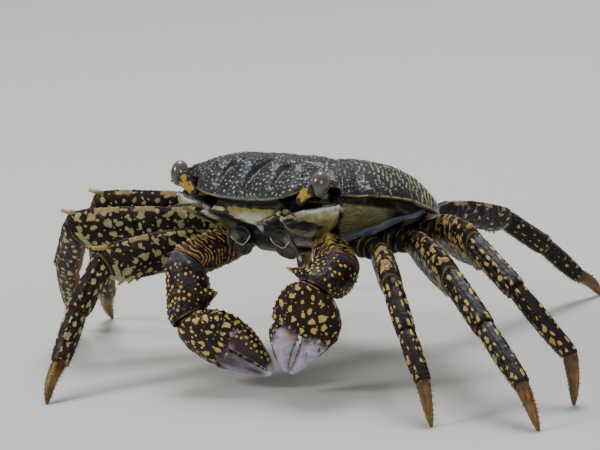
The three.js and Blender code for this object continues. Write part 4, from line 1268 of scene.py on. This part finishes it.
def palm_segment(side_name, joints, frames, sizes, colours):
    """The hand and its fixed finger."""
    seed = 380 + 40 * (side_name == "left")

    def grow(t, turn):
        return finger_teeth(t, turn, seed)

    planes = (parting(joints, frames, 2, 1), None)
    shape = {"sharp": 1.0, "lip": FINGER_TIP}
    palm = Segment(joints, frames, 2, PALM, PALM_SIZE, GRID["palm"], planes, grow, **shape)
    t, lie, aside = palm.t, palm.lie, np.abs(palm.turn)
    place = np.clip(t, 0, 1)
    finger = ease(0.5, 0.64, place + 0.07 * cloud(lie * (0.25, 1.6, 1), 1.5, seed + 2))
    if side_name == "right":
        finger = finger * (1 - 0.9 * hump(aside, 1.05, 0.62) * ease(1.0, 0.9, place))
    top = (aside < 1.0) * (place < 0.5) * (t > 0.02)
    knobs = dome(nearest(palm.points, *knob_spots(palm, "palm", seed, top))) * (place < 0.53)
    ridge = hump(aside, 1.9, 0.14) * (1 - finger)
    rim = 1 - ease(0.02, 0.04, place)
    grooves = hump(aside, 1.2, 0.22) * ease(0.6, 0.7, place) * ease(1.0, 0.9, place)
    relief = 0.34 * knobs + 0.14 * ridge + 0.1 * rim - 0.12 * grooves
    palm.relief(relief + 0.08 * cloud(lie, 2.2, seed + 1))
    palm.crest = knobs * 0.8
    free = (place < 0.56) * (t > 0.03)
    blotches(palm, sizes.claw_spacing / MM * 0.9, seed + 4, (0.2, 0.38), free, 1.3, (1, 0.9), 0.45)
    blotches(palm, 1.35, seed + 14, (0.12, 0.22), free, 1.3, (1, 0.9), 0.5)
    palm.dab(colours.finger, finger * (t > 0))
    streak = ease(0.05, 0.4, cloud(lie * (0.2, 1.5, 1), 1.3, seed + 3))
    palm.dab("#3a2128", streak * ease(0.84, 0.62, place) * ease(0.46, 0.52, place) * 0.85)
    palm.dab("#4d2d1c", ease(0.56, 0.6, place) * ease(0.98, 0.93, place) * ease(0.42, 0.3, aside) * 0.9)
    palm.dab("#7d6a78", ease(0.56, 0.62, place) * hump(np.pi - aside, 0, 0.35) * 0.6)
    teeth = ease(0.3, 0.8, grow(t, palm.turn) / TOOTH_HEIGHT)
    palm.dab("#e0dccf", teeth + 0.6 * ease(0.95, 1, place) * (t > 0))
    worn = ease(-0.3, 0.2, cloud(lie, 1.5, seed + 8))
    palm.stain("#b7a070", (1 - ease(0.012, 0.02, place)) * 0.7 * worn)
    return palm


def finger_segment(side_name, joints, frames, colours):
    """The movable finger: a dark spotted outer edge and pale faces."""
    seed = 420 + 40 * (side_name == "left")

    def grow(t, turn):
        return finger_teeth(t, np.pi - np.abs(turn), seed + 2)

    shape = {"span": (THUMB[0][0], 1), "neck": FINGER_ROOT, "lip": FINGER_TIP, "sharp": 1.0}
    planes = (None, None)
    thumb = Segment(joints, frames, 2, THUMB, PALM_SIZE, GRID["thumb"], planes, grow, **shape)
    lie, aside, place = thumb.lie, np.abs(thumb.turn), np.clip(thumb.ends, 0, 1)
    reach = 2.1 if side_name == "right" else 1.0
    edge = ease(reach + 0.25, reach - 0.25, aside + 0.25 * cloud(lie * (0.5, 1, 1), 1.5, seed))
    centres, radii = knob_spots(thumb, "thumb", seed, (aside < 0.8) * (place < 0.86))
    knobs = dome(nearest(thumb.points, centres, radii))
    grooves = 0.14 * hump(aside, 1.5, 0.22) * ease(1, 0.8, place)
    thumb.relief(0.2 * knobs - grooves + 0.05 * cloud(lie, 1.6, seed + 1))
    thumb.spot = np.where(knobs > 0, nearest(thumb.points, centres, radii), thumb.spot)
    thumb.dab(colours.finger, (1 - edge) + ease(0.86, 0.97, place) * edge)
    thumb.dab("#b98a80", (1 - ease(0.02, 0.16, place)) * ease(1.2, 1.9, aside) * 0.8)
    thumb.dab("#4d2d1c", ease(0.1, 0.2, place) * ease(0.95, 0.85, place) * ease(2.72, 2.84, aside) * 0.9)
    teeth = ease(0.3, 0.8, grow(thumb.t, thumb.turn) / TOOTH_HEIGHT)
    thumb.dab("#e0dccf", teeth * (thumb.t < 2))
    return thumb


# ---------------------------------------------------------------- eyes and mouthparts
class Tube(Surface):
    """Rings along a path in the body frame, carried round its bends."""

    def __init__(self, path, radius, columns):
        path = on_body(path)
        axes = unit(np.gradient(path, axis=0))
        angle = np.linspace(0, 2 * math.pi, columns)[None, :]
        ups = [unit((0, 0, 1) - axes[0] * axes[0][2])]
        for before, after in zip(axes[:-1], axes[1:]):
            ups.append(carried(ups[-1], before, after))
        ups = np.array(ups)
        high, broad = np.cos(angle) * radius[:, None], np.sin(angle) * radius[:, None]
        lateral = high[..., None] * ups[:, None] + broad[..., None] * np.cross(axes, ups)[:, None]
        walked = np.concatenate([[0], np.cumsum(np.linalg.norm(np.diff(path, axis=0), axis=1))])
        self.t = np.linspace(0, 1, len(path))[:, None]
        lie = np.stack([np.broadcast_to(walked[:, None], high.shape), high, broad], axis=-1)
        super().__init__(path[:, None] + lateral, lie)


def eye_surface(side):
    """The cornea, egg-shaped and lying over the end of its stalk."""
    polar = np.linspace(0, math.pi, 60)[:, None]
    round_it = np.linspace(0, 2 * math.pi, 97)[None, :]
    x, y = np.sin(polar) * np.cos(round_it), np.sin(polar) * np.sin(round_it)
    z = np.cos(polar) * np.ones_like(round_it)
    body = np.stack([x, y, z], axis=-1) * EYE["half"]
    eye = Surface(on_body(body + mirrored(EYE["centre"], side) - (0, 0, EYE["drop"])), body)
    eye.crest = hump(z, 0.05, 0.2) * hump(x * side, 0.2, 0.17) * ease(0.0, 0.5, -y)
    eye.dab("#6d685c", ease(0.35, 0.95, z) * 0.6)
    eye.dab("#57523a", ease(-0.45, -0.8, z) * 0.8)
    return eye


def arched(start, end, at, bow):
    """Points from start to end that bow out between them."""
    start, end = np.array(start, float), np.array(end, float)
    return start + at[:, None] * (end - start) + np.sin(at * math.pi)[:, None] * bow


def stalk_surface(side):
    """The stalk, which swells toward the eye and carries a yellow patch."""
    at = np.linspace(0, 1, 48)
    end = np.array(EYE["centre"]) - STALK["short"]
    path = arched(STALK["start"], end, at, (0, -0.5, 0.15))
    shape = [(0, 0), (0.03, 0.7), (0.3, 0.82), (0.62, 1.12), (0.85, 1.36), (1, 0)]
    radius = STALK["radius"] * curve(shape, at)[:, 0]
    stalk = Tube(mirrored(path, side), radius, 65)
    rough = cloud(stalk.lie, 0.9, 2)
    stalk.swell(0.1 * rough * ease(0, 0.1, radius)[:, None])
    facing = normals_of(stalk.points) @ unit(np.array((-0.35 * side, -1.0, -0.1)))
    patch = ease(0.45, 0.7, facing + 0.35 * rough) * ease(0.18, 0.24, stalk.t + 0.12 * rough)
    patch = patch * ease(0.76, 0.68, stalk.t + 0.12 * rough)
    stalk.coat("#100e0c")
    stalk.dab("#565044", ease(0.4, 0.8, cloud(stalk.lie, 0.7, 12)) * 0.5)
    stalk.dab("#b8932f", patch)
    stalk.dab("#6b4a1c", patch * ease(0.2, 0.7, cloud(stalk.lie, 0.6, 8)) * 0.7)
    return stalk


def feeler_surface(side):
    """The short antenna: stout base joints, then a ringed whip."""
    at = np.linspace(0, 1, 70)
    path = arched(FEELER["start"], FEELER["end"], at, (0, 0, 0.35))
    shape = [
        (0, 0), (0.02, 0.9), (0.16, 1), (0.2, 0.72), (0.3, 0.78), (0.34, 0.5), (0.7, 0.34), (0.97, 0.2),
        (1, 0),
    ]
    radius = FEELER["radius"] * curve(shape, at)[:, 0]
    feeler = Tube(mirrored(path, side), radius, 25)
    rings = 0.5 + 0.5 * np.cos(at * 120)
    feeler.swell((0.03 * rings * (at > 0.34) * (at < 0.96))[:, None] * np.ones_like(feeler.spot))
    feeler.dab("#6a5a3c", (0.8 * (1 - ease(0.3, 0.4, at)))[:, None])
    return feeler


def jaw_frame(side):
    """Top of the jaw line and its directions down, across and outward."""
    top, foot = (mirrored(JAW_LINE[key], side) for key in ("top", "foot"))
    down = unit(foot - top)
    across = np.array((1.0, 0, 0))
    across = unit(across - down * (across @ down))
    return top, down, across, np.cross(down, across)


TOP_ROWS, BACK_ROWS = 30, 9


def plate_surface(side, middle, drop, half, squareness, thick, lean=0.0, narrow=0.0, sink=0.0):
    """A cushion-shaped mouth plate, its middle placed across the jaw and down it."""
    top, down, across, out = jaw_frame(side)
    centre = top + down * drop + across * (middle * side - top[0])
    angle = np.linspace(0, 2 * math.pi, 121)[None, :]
    reach = np.concatenate([np.linspace(0, 1, TOP_ROWS) ** 0.8, np.linspace(1, 0, BACK_ROWS)])[:, None]
    corner = (np.abs(np.cos(angle)) ** squareness + np.abs(np.sin(angle)) ** squareness) ** (-1 / squareness)
    u, v = np.cos(angle) * corner * reach, np.sin(angle) * corner * reach
    u = u * (1 - narrow * ease(-0.3, 1, v))
    above = (np.arange(len(reach)) < TOP_ROWS)[:, None]
    edge = np.maximum(0, 1 - reach**5) ** 0.6
    w = np.where(above, thick * edge, -thick * edge * 0.8) - sink * ease(0.4, -1, v)
    spread = u * half[0] + lean * side * v * half[1]
    body = centre + spread[..., None] * across + (v * half[1])[..., None] * down + w[..., None] * out
    plate = Surface(on_body(body), np.stack([u * half[0] * side, v * half[1], w], axis=-1))
    plate.u, plate.v, plate.above, plate.reach = u * side, v, above * 1.0, reach
    return plate


def upper_plate(side):
    """The upper mouth plate: dark, pointed below, with a thin pale rim at its lower edges."""
    plate = plate_surface(side, **UPPER_PLATE)
    around = np.arctan2(plate.u, plate.v)
    rim = hump(plate.reach, 0.93, 0.05) * ease(1.95, 1.5, np.abs(around))
    hollow = 1 - ease(0.5, 0.88, plate.reach)
    plate.swell(plate.above * (0.22 * rim - 0.45 * hollow + 0.1 * cloud(plate.lie, 0.9, 5)))
    plate.coat("#070605")
    outer = ease(0.35, 0.6, plate.u + 0.35 * cloud(plate.lie, 1.2, 3)) * ease(-0.7, -0.1, plate.v)
    plate.dab("#66665a", outer * plate.above * 0.8)
    plate.dab("#7d6f33", ease(0.3, 0.6, cloud(plate.lie, 0.8, 17)) * hollow * ease(-0.2, 0.3, plate.v) * 0.5)
    plate.dab("#cbc8b4", ease(0.3, 0.65, rim) * plate.above)
    return plate


def lower_plate(side):
    """The lower mouth plate, grooved along its length."""
    plate = plate_surface(side, **LOWER_PLATE)
    groove = hump(plate.u, -0.35, 0.1)
    plate.swell(plate.above * (0.06 * cloud(plate.lie, 1.0, 7) - 0.3 * groove))
    plate.coat("#38362a")
    plate.dab("#26231d", ease(0.4, 0.9, groove) * 0.7 + ease(0.0, -0.8, plate.u) * 0.5)
    plate.dab("#8f8c78", ease(0.86, 0.95, plate.reach) * ease(-0.2, 0.6, plate.v) * 0.6)
    return plate


def outer_strip(side):
    """The slim strip that runs down the outer side of the plates."""
    plate = plate_surface(side, **OUTER_STRIP)
    plate.swell(plate.above * 0.05 * cloud(plate.lie, 0.8, 9))
    plate.coat("#3a382e")
    plate.dab("#7d7a68", hump(plate.u, 0, 0.35) * 0.5)
    return plate


# ---------------------------------------------------------------- finishes
def feed(tree, made, inputs):
    """Sets a node's inputs to values or to the outputs of other nodes."""
    for key, value in inputs.items():
        if isinstance(value, bpy.types.NodeSocket):
            tree.links.new(value, made.inputs[key])
        else:
            made.inputs[key].default_value = value


def node(tree, kind, inputs, **settings):
    """Adds a shader node and gives its outputs."""
    made = tree.nodes.new(kind)
    for key, value in settings.items():
        setattr(made, key, value)
    feed(tree, made, inputs)
    return made.outputs


def reckoned(tree, operation, *values):
    """The result of a Math node."""
    return node(tree, "ShaderNodeMath", dict(enumerate(values)), operation=operation)[0]


def mixed(tree, factor, first, second):
    """Two colours mixed by a factor."""
    first, second = ((*c, 1) if isinstance(c, tuple) else c for c in (first, second))
    return node(tree, "ShaderNodeMix", {0: factor, 6: first, 7: second}, data_type="RGBA")[2]


def spread(tree, value, low, high, bottom=0.0, top=1.0):
    """A value taken smoothly from one range to another."""
    inputs = {"Value": value, "From Min": low, "From Max": high, "To Min": bottom, "To Max": top}
    return node(tree, "ShaderNodeMapRange", inputs, interpolation_type="SMOOTHSTEP")[0]


def noise(tree, place, scale, detail):
    """Noise of the given scale."""
    return node(tree, "ShaderNodeTexNoise", {"Vector": place, "Scale": scale, "Detail": detail})[0]


def group(name, sockets, output):
    """An empty node group with the given inputs and one output."""
    tree = bpy.data.node_groups.new(name, "ShaderNodeTree")
    for title, default in sockets.items():
        kind = "NodeSocketVector" if default is None else "NodeSocketFloat"
        socket = tree.interface.new_socket(name=title, in_out="INPUT", socket_type=kind)
        if default is not None:
            socket.default_value = default
    tree.interface.new_socket(name=output, in_out="OUTPUT", socket_type="NodeSocketFloat")
    return tree, tree.nodes.new("NodeGroupInput").outputs, tree.nodes.new("NodeGroupOutput").inputs


def spot_group():
    """Soft-edged ragged spots from a distance that is 1 at their edge."""
    sockets = {"Distance": NO_SPOT, "Place": None, "Ragged": 0.35, "Soft": 0.14}
    tree, given, out = group("Spot mask", sockets, "Mask")
    grain = noise(tree, given["Place"], 1.6, 2.0)
    shift = reckoned(tree, "MULTIPLY", reckoned(tree, "SUBTRACT", grain, 0.5), given["Ragged"])
    edge = reckoned(tree, "SUBTRACT", given["Distance"], shift)
    low, high = (reckoned(tree, operation, 1.0, given["Soft"]) for operation in ("SUBTRACT", "ADD"))
    tree.links.new(spread(tree, edge, low, high, 1.0, 0.0), out["Mask"])


def mottle_group():
    """Cloudy patches at one scale with finer ones in them."""
    tree, given, out = group("Horn mottle", {"Place": None, "Scale": 0.3, "Contrast": 0.25}, "Patches")
    broad = noise(tree, given["Place"], given["Scale"], 4.0)
    low, high = (reckoned(tree, operation, 0.5, given["Contrast"]) for operation in ("SUBTRACT", "ADD"))
    tree.links.new(spread(tree, broad, low, high), out["Patches"])


def grain_group():
    """Height of the fine pits and granules of horn."""
    tree, given, out = group("Horn grain", {"Place": None, "Pits": 1.0, "Granules": 1.0}, "Height")
    cells = {"Vector": given["Place"], "Scale": 3.4}
    pits = node(tree, "ShaderNodeTexVoronoi", cells, feature="SMOOTH_F1")[0]
    pits = reckoned(tree, "MULTIPLY", pits, given["Pits"])
    fine = reckoned(tree, "MULTIPLY", noise(tree, given["Place"], 5.0, 3.0), given["Granules"])
    tree.links.new(reckoned(tree, "ADD", pits, fine), out["Height"])


def use(tree, name, inputs):
    """Places one of the shared groups and gives its output."""
    return node(tree, "ShaderNodeGroup", inputs, node_tree=bpy.data.node_groups[name])[0]


def mottle(tree, place, scale, contrast):
    """The shared cloudy patches, with values of their own."""
    return use(tree, "Horn mottle", {"Place": place, "Scale": scale, "Contrast": contrast})


def lift(tree, height, strength, distance):
    """The normal of a surface with a fine relief."""
    inputs = {"Height": height, "Strength": strength, "Distance": distance}
    return node(tree, "ShaderNodeBump", inputs)[0]


def blank(name):
    """A new material's node tree and shader."""
    material = bpy.data.materials.new(name)
    material.use_nodes = True
    return material.node_tree, material.node_tree.nodes["Principled BSDF"]


def on_object(tree):
    """The place on the piece, in metres."""
    return tree.nodes.new("ShaderNodeTexCoord").outputs["Object"]


def in_millimetres(tree):
    """The place on the piece, in millimetres."""
    inputs = {0: on_object(tree), "Scale": 1 / MM}
    return node(tree, "ShaderNodeVectorMath", inputs, operation="SCALE")[0]


def attribute(tree, name):
    """The outputs that read what a surface carries under a name."""
    return node(tree, "ShaderNodeAttribute", {}, attribute_name=name, attribute_type="GEOMETRY")


def painted(tree, base):
    """A ground with the surface's own paint over it."""
    tint = attribute(tree, "tint")
    return mixed(tree, tint["Alpha"], base, tint["Color"])


WARM_TONE = "#b98434"
GRAIN_DEPTH = 0.00012  # metres
WET_COAT = 0.12  # roughness of the wet film over horn
DULL = {"gloss": (0.34, 0.6), "coat": 0.04, "shine": 0.2}
# Horn finishes: ground, second ground, spots and worn crests, each a colour of the crab or a
# code, and how the horn shines and wears.
HORNS = {
    "Leg horn left": ("leg_dark leg_brown leg_spot #8b7a55", DULL),
    # The right legs' copy has greyer, less warm spots: painted shade, for the right legs lie in shade.
    "Leg horn right": ("#170c09 #2d1c13 #b4ab78 #8b7a55", {"warmth": 0.25, **DULL}),
    "Claw horn": ("claw_dark claw_brown claw_spot #b79a66", {"worn": 0.8, "warmth": 0.3, **DULL}),
    "Toe horn": ("toe #54380f leg_spot joint", {"gloss": (0.3, 0.5), "coat": 0.2}),
    "Finger horn": ("claw_dark claw_brown claw_spot claw_spot", {"gloss": (0.25, 0.45), "coat": 0.3}),
    "Underbody": ("skin_dark #2b2620 skin_cream #77745c", {"gloss": (0.32, 0.55), "coat": 0.25}),
    "Tail plate": ("#857c52 #5f5838 skin_cream skin_cream", {"gloss": (0.35, 0.55), "coat": 0.15}),
    "Mouth plate": ("#5d5a48 #3f3c32 skin_cream skin_cream", {"gloss": (0.3, 0.5), "coat": 0.25}),
    "Feeler horn": ("#3a2f24 #241c18 joint joint", {"gloss": (0.3, 0.5), "coat": 0.2}),
    "Stalk horn": ("#3a3833 #24221f joint joint", {"gloss": (0.25, 0.45), "coat": 0.3}),
}


def horn(name, ground, second, spot, crest, gloss, coat, worn=0.55, warmth=0.5, shine=0.35):
    """Wet horn: mottled ground, pale worn crests, ragged spots, and painted places over them."""
    tree, shader = blank(name)
    place = in_millimetres(tree)
    base = mixed(tree, mottle(tree, place, 0.3, 0.16), ground, second)
    rise = spread(tree, attribute(tree, "crest")["Fac"], 0.35, 0.85, 0.0, worn)
    shown = reckoned(tree, "MULTIPLY", rise, mottle(tree, place, 1.1, 0.1))
    base = mixed(tree, shown, base, crest)
    inputs = {"Distance": attribute(tree, "spot")["Fac"], "Place": place, "Ragged": 0.45}
    mask = use(tree, "Spot mask", inputs)
    tone = mottle(tree, place, 0.8, 0.3)
    warm = reckoned(tree, "MULTIPLY", mottle(tree, place, 0.22, 0.16), warmth)
    lit = mixed(tree, warm, spot, paint(WARM_TONE))
    deeper = tuple(channel * 0.62 for channel in spot)
    base = mixed(tree, mask, base, mixed(tree, tone, deeper, lit))
    tint = attribute(tree, "tint")
    uneven = {"Color": tint["Color"], "Value": spread(tree, tone, 0.0, 1.0, 0.8, 1.12)}
    base = mixed(tree, tint["Alpha"], base, node(tree, "ShaderNodeHueSaturation", uneven)[0])
    grain = use(tree, "Horn grain", {"Place": place, "Pits": 0.5, "Granules": 0.6})
    feed(tree, shader, {
        "Base Color": base,
        "Roughness": spread(tree, mottle(tree, place, 0.55, 0.3), 0.0, 1.0, *gloss),
        "Normal": lift(tree, grain, 0.6, GRAIN_DEPTH),
        "Specular IOR Level": shine,
        "Coat Weight": coat,
        "Coat Roughness": WET_COAT,
    })


def shell_finish(colours):
    """Slate shell: cloudy ground, a painted blue-grey reflection of the sky on the ridges, and pale flecks
    on them.
    """
    tree, shader = blank("Carapace slate")
    place, lie = in_millimetres(tree), attribute(tree, "lie")["Vector"]
    cloudy = mottle(tree, place, 0.16, 0.14)
    base = mixed(tree, cloudy, tuple(colours.shell_dark), tuple(colours.shell_grey))
    rise = attribute(tree, "crest")["Fac"]
    fine = spread(tree, mottle(tree, place, 1.3, 0.12), 0.0, 1.0, 0.2, 0.5)
    # Painted reflection: the ridges and granules are mixed toward blue grey, as the sky would show on them.
    painted_sky_sheen = reckoned(tree, "MULTIPLY", spread(tree, rise, 0.25, 0.8), fine)
    base = mixed(tree, painted_sky_sheen, base, paint("#64728f"))
    drawn_out = {0: lie, 1: (0.7, 1.6, 1.0)}
    flecks = noise(tree, node(tree, "ShaderNodeVectorMath", drawn_out, operation="MULTIPLY")[0], 0.95, 2.0)
    share = spread(tree, attribute(tree, "spot")["Fac"], 0.0, 1.0, -0.07, 0.13)
    chance = spread(tree, reckoned(tree, "ADD", flecks, share), 0.5, 0.57)
    spots = reckoned(tree, "MULTIPLY", spread(tree, rise, 0.35, 0.7), chance)
    base = mixed(tree, reckoned(tree, "MULTIPLY", spots, 0.9), base, tuple(colours.shell_fleck))
    grain = use(tree, "Horn grain", {"Place": place, "Pits": 0.7, "Granules": 0.8})
    feed(tree, shader, {
        "Base Color": painted(tree, base),
        "Roughness": spread(tree, mottle(tree, place, 0.4, 0.25), 0.0, 1.0, 0.26, 0.5),
        "Normal": lift(tree, grain, 0.35, GRAIN_DEPTH),
        "Specular IOR Level": 0.4,
        "Coat Weight": 0.1,
        "Coat Roughness": WET_COAT,
    })


def eye_finish(colours):
    """Glossy brown-grey eye with a fine facet grain and a darker middle."""
    tree, shader = blank("Eye")
    place = in_millimetres(tree)
    ground = tuple(colours.eye)
    base = mixed(tree, mottle(tree, place, 1.4, 0.3), tuple(c * 0.7 for c in ground), ground)
    middle = spread(tree, attribute(tree, "crest")["Fac"], 0.2, 0.9, 0.0, 0.65)
    base = mixed(tree, middle, base, paint("#17110f"))
    facets = node(tree, "ShaderNodeTexVoronoi", {"Vector": place, "Scale": 9.0})[0]
    feed(tree, shader, {
        "Base Color": painted(tree, base),
        "Roughness": 0.16,
        "Normal": lift(tree, facets, 0.08, 0.00005),
        "Coat Weight": 0.7,
        "Coat Roughness": 0.04,
    })


def spike_finish(name, dark, light):
    """Horn of bristles and spines, darker in patches."""
    tree, shader = blank(name)
    patch = mottle(tree, in_millimetres(tree), 0.5, 0.2)
    feed(tree, shader, {"Base Color": mixed(tree, patch, paint(dark), paint(light)), "Roughness": 0.42})


def floor_finish(colours):
    """Plain pale floor with a faint cloudiness."""
    tree, shader = blank("Studio floor")
    ground = tuple(colours.floor)
    cloudy = mixed(tree, noise(tree, on_object(tree), 6.0, 3.0), tuple(c * 0.97 for c in ground), ground)
    feed(tree, shader, {"Base Color": cloudy, "Roughness": 0.8})


def make_finishes(colours):
    """All materials, and first the groups that they share."""
    for made in (spot_group, mottle_group, grain_group):
        made()
    shell_finish(colours)
    for name, (codes, looks) in HORNS.items():
        tones = (paint(c) if c[0] == "#" else tuple(getattr(colours, c)) for c in codes.split())
        horn(name, *tones, **looks)
    eye_finish(colours)
    spike_finish("Bristle", "#4a2c16", "#a9772f")
    spike_finish("Spine", "#a9783a", "#b7a070")
    floor_finish(colours)


# ---------------------------------------------------------------- operators
class CrabOperator:
    """What the crab's operators share."""

    bl_options = {"REGISTER", "UNDO"}

    def execute(self, context):
        """Builds this step from the scene's colours and sizes."""
        self.build(context.scene.crab_colours, context.scene.crab_sizes)
        return {"FINISHED"}


class CRAB_OT_finishes(CrabOperator, bpy.types.Operator):
    """Make the horn, eye, bristle and floor finishes"""

    bl_idname = "crab.finishes"
    bl_label = "Finishes"

    def build(self, colours, sizes):
        make_finishes(colours)


class CRAB_OT_shell(CrabOperator, bpy.types.Operator):
    """Build the ridged back shell"""

    bl_idname = "crab.shell"
    bl_label = "Back shell"

    def build(self, colours, sizes):
        stand(shell_surface(sizes), "back_shell", "Carapace slate", "shell", "carapace")


class CRAB_OT_trunk(CrabOperator, bpy.types.Operator):
    """Build the body under the shell, with its face and folded tail"""

    bl_idname = "crab.trunk"
    bl_label = "Underbody and tail"

    def build(self, colours, sizes):
        trunk = trunk_surface()
        face_finish(trunk, colours)
        stand(trunk, "body_and_face", "Underbody", "underbody", "trunk")
        tail = flap_surface(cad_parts["abdomen_flap"])
        stand(tail, "tail_plate", "Tail plate", "flap", "abdomen_flap")


class CRAB_OT_face(CrabOperator, bpy.types.Operator):
    """Build the eyes, stalks, antennae and mouth plates"""

    bl_idname = "crab.face"
    bl_label = "Eyes and mouthparts"

    def build(self, colours, sizes):
        for word, side in SIDES.items():
            stand(eye_surface(side), f"{word}_eye", "Eye", "eye", f"eye_{word}")
            stand(stalk_surface(side), f"{word}_stalk", "Stalk horn", "eyestalk", f"eyestalk_{word}")
            stand(feeler_surface(side), f"{word}_antenna", "Feeler horn", "feeler", f"antenna_{word}")
            for label, plate in (("upper", upper_plate), ("lower", lower_plate), ("outer", outer_strip)):
                name = f"{word}_mouth_{label}"
                stand(plate(side), name, "Mouth plate", "mouthpart", f"maxilliped_{word}")


class CRAB_OT_legs(CrabOperator, bpy.types.Operator):
    """Build the eight walking legs with their bristles and spines"""

    bl_idname = "crab.legs"
    bl_label = "Walking legs"

    def build(self, colours, sizes):
        for word in SIDES:
            for number in LEG_BASE:
                self.leg(number, word, sizes, colours)

    def leg(self, number, word, sizes, colours):
        """One leg, from its root to its toe."""
        joints = leg_joints(number, word)
        frames = leg_frames(number, word, joints)
        leg, bone = f"{word}_leg_{number}", f"leg_{number}_{word}"
        hip = leg_base(number, joints, frames, colours)
        thigh = long_segment(number, word, joints, frames, sizes, colours)
        knee, shin = (short_segment(number, word, k, joints, frames, colours) for k in (2, 3))
        toe = toe_segment(number, word, joints, frames)
        horn_name = f"Leg horn {word}"
        stand(hip, f"{leg}_hip", horn_name, "leg", f"{bone}_merus")
        stand(thigh, f"{leg}_thigh", horn_name, "leg", f"{bone}_merus")
        stand(knee, f"{leg}_knee", horn_name, "leg", f"{bone}_carpus")
        stand(shin, f"{leg}_shin", horn_name, "leg", f"{bone}_propodus")
        stand(toe, f"{leg}_toe", "Toe horn", "toe", f"{bone}_dactylus")
        seed = number * 50 + SIDES[word]
        sets = [bristle_set(toe, seed, *TOE_BRISTLES)]
        for surface, bristles in ((shin, SHIN_BRISTLES), (knee, KNEE_BRISTLES)):
            sets.append(bristle_set(surface, seed + bristles[1], *bristles))
        bristles = (sum(lists, []) for lists in zip(*sets))
        settle(joined_spikes(f"{leg}_bristles", *bristles, 5, 0.0), "Bristle", "toe")
        settle(joined_spikes(f"{leg}_spines", *spine_set(number, thigh), 10, 0.55), "Spine", "leg")


class CRAB_OT_claws(CrabOperator, bpy.types.Operator):
    """Build the two claws"""

    bl_idname = "crab.claws"
    bl_label = "Claws"

    def build(self, colours, sizes):
        for word in SIDES:
            joints = claw_joints(word)
            frames = frames_along(joints, 2, unit(CLAW[word]["thumb"]))
            for label, bone, surface in (
                ("arm", "merus", arm_segment(word, joints, frames, colours)),
                ("wrist", "carpus", cuff_segment(word, joints, frames)),
                ("hand", "palm", palm_segment(word, joints, frames, sizes, colours)),
            ):
                stand(surface, f"{word}_claw_{label}", "Claw horn", "claw", f"claw_{word}_{bone}")
            thumb = finger_segment(word, joints, frames, colours)
            stand(thumb, f"{word}_claw_finger", "Finger horn", "finger", f"claw_{word}_finger")


class CRAB_OT_stage(CrabOperator, bpy.types.Operator):
    """Set up the floor, the soft light and the camera"""

    bl_idname = "crab.stage"
    bl_label = "Floor, light and camera"

    def build(self, colours, sizes):
        bpy.ops.object.select_all(action="DESELECT")
        bpy.ops.mesh.primitive_plane_add(size=8, location=(0, 0, 0))
        floor = bpy.context.object
        floor.name = "studio_floor"
        floor.data.materials.append(bpy.data.materials["Studio floor"])
        self.sky()
        for name, settings in LAMPS.items():
            self.lamp(name, *settings)
        self.camera()

    def sky(self):
        """A pale even sky."""
        world = bpy.data.worlds.new("Studio sky")
        world.use_nodes = True
        background = world.node_tree.nodes["Background"]
        background.inputs["Color"].default_value = SKY["colour"]
        background.inputs["Strength"].default_value = SKY["strength"]
        bpy.context.scene.world = world

    def lamp(self, name, at, size, power, tone):
        """A soft square lamp that faces the crab."""
        away = Vector(at) - Vector((0, 0, 0.03))
        bpy.ops.object.light_add(type="AREA", location=at, rotation=away.to_track_quat("Z", "Y").to_euler())
        lamp = bpy.context.object
        lamp.name = name
        lamp.data.size = size
        lamp.data.energy = power
        lamp.data.color = tone

    def camera(self):
        """The camera, turned round its view and aimed from a distance."""
        side, rise, roll = (math.radians(CAMERA[key]) for key in ("azimuth", "elevation", "roll"))
        back = Vector((math.sin(side) * math.cos(rise), -math.cos(side) * math.cos(rise), math.sin(rise)))
        level = Vector((math.cos(side), math.sin(side), 0))
        upright = back.cross(level)
        right = level * math.cos(roll) - upright * math.sin(roll)
        above = level * math.sin(roll) + upright * math.cos(roll)
        at = (Vector(CAMERA["aim"]) + back * CAMERA["distance"]) * MM
        bpy.ops.object.camera_add(location=at)
        camera = bpy.context.object
        camera.matrix_world = Matrix((right, above, back)).transposed().to_4x4()
        camera.location = at
        camera.data.sensor_width = 36
        camera.data.lens = CAMERA["lens"]
        camera.data.clip_start = 0.01
        bpy.context.scene.camera = camera


OPERATORS = (
    CRAB_OT_finishes, CRAB_OT_shell, CRAB_OT_trunk, CRAB_OT_face, CRAB_OT_legs, CRAB_OT_claws, CRAB_OT_stage,
)


class CRAB_PT_panel(bpy.types.Panel):
    """Lists the steps that build the crab"""

    bl_idname = "CRAB_PT_panel"
    bl_label = "Shore crab"
    bl_space_type = "VIEW_3D"
    bl_region_type = "UI"
    bl_category = "Shore crab"

    def draw(self, context):
        """Lists the steps, the colours and the sizes."""
        column = self.layout.column()
        for operator in OPERATORS:
            column.operator(operator.bl_idname)
        for settings in (context.scene.crab_colours, context.scene.crab_sizes):
            for key in type(settings).__annotations__:
                column.prop(settings, key)


CLASSES = (CrabColours, CrabSizes, *OPERATORS, CRAB_PT_panel)


def register():
    """Adds the crab's classes and settings."""
    for kind in CLASSES:
        bpy.utils.register_class(kind)
    bpy.types.Scene.crab_colours = PointerProperty(type=CrabColours)
    bpy.types.Scene.crab_sizes = PointerProperty(type=CrabSizes)


def unregister():
    """Removes them again."""
    del bpy.types.Scene.crab_colours
    del bpy.types.Scene.crab_sizes
    for kind in reversed(CLASSES):
        bpy.utils.unregister_class(kind)


def main():
    """Builds the crab."""
    register()
    for operator in OPERATORS:
        family, name = operator.bl_idname.split(".")
        result = getattr(getattr(bpy.ops, family), name)()
        if result != {"FINISHED"}:
            raise RuntimeError(f"{operator.bl_idname} did not finish: {result}")


if __name__ == "__main__":
    main()
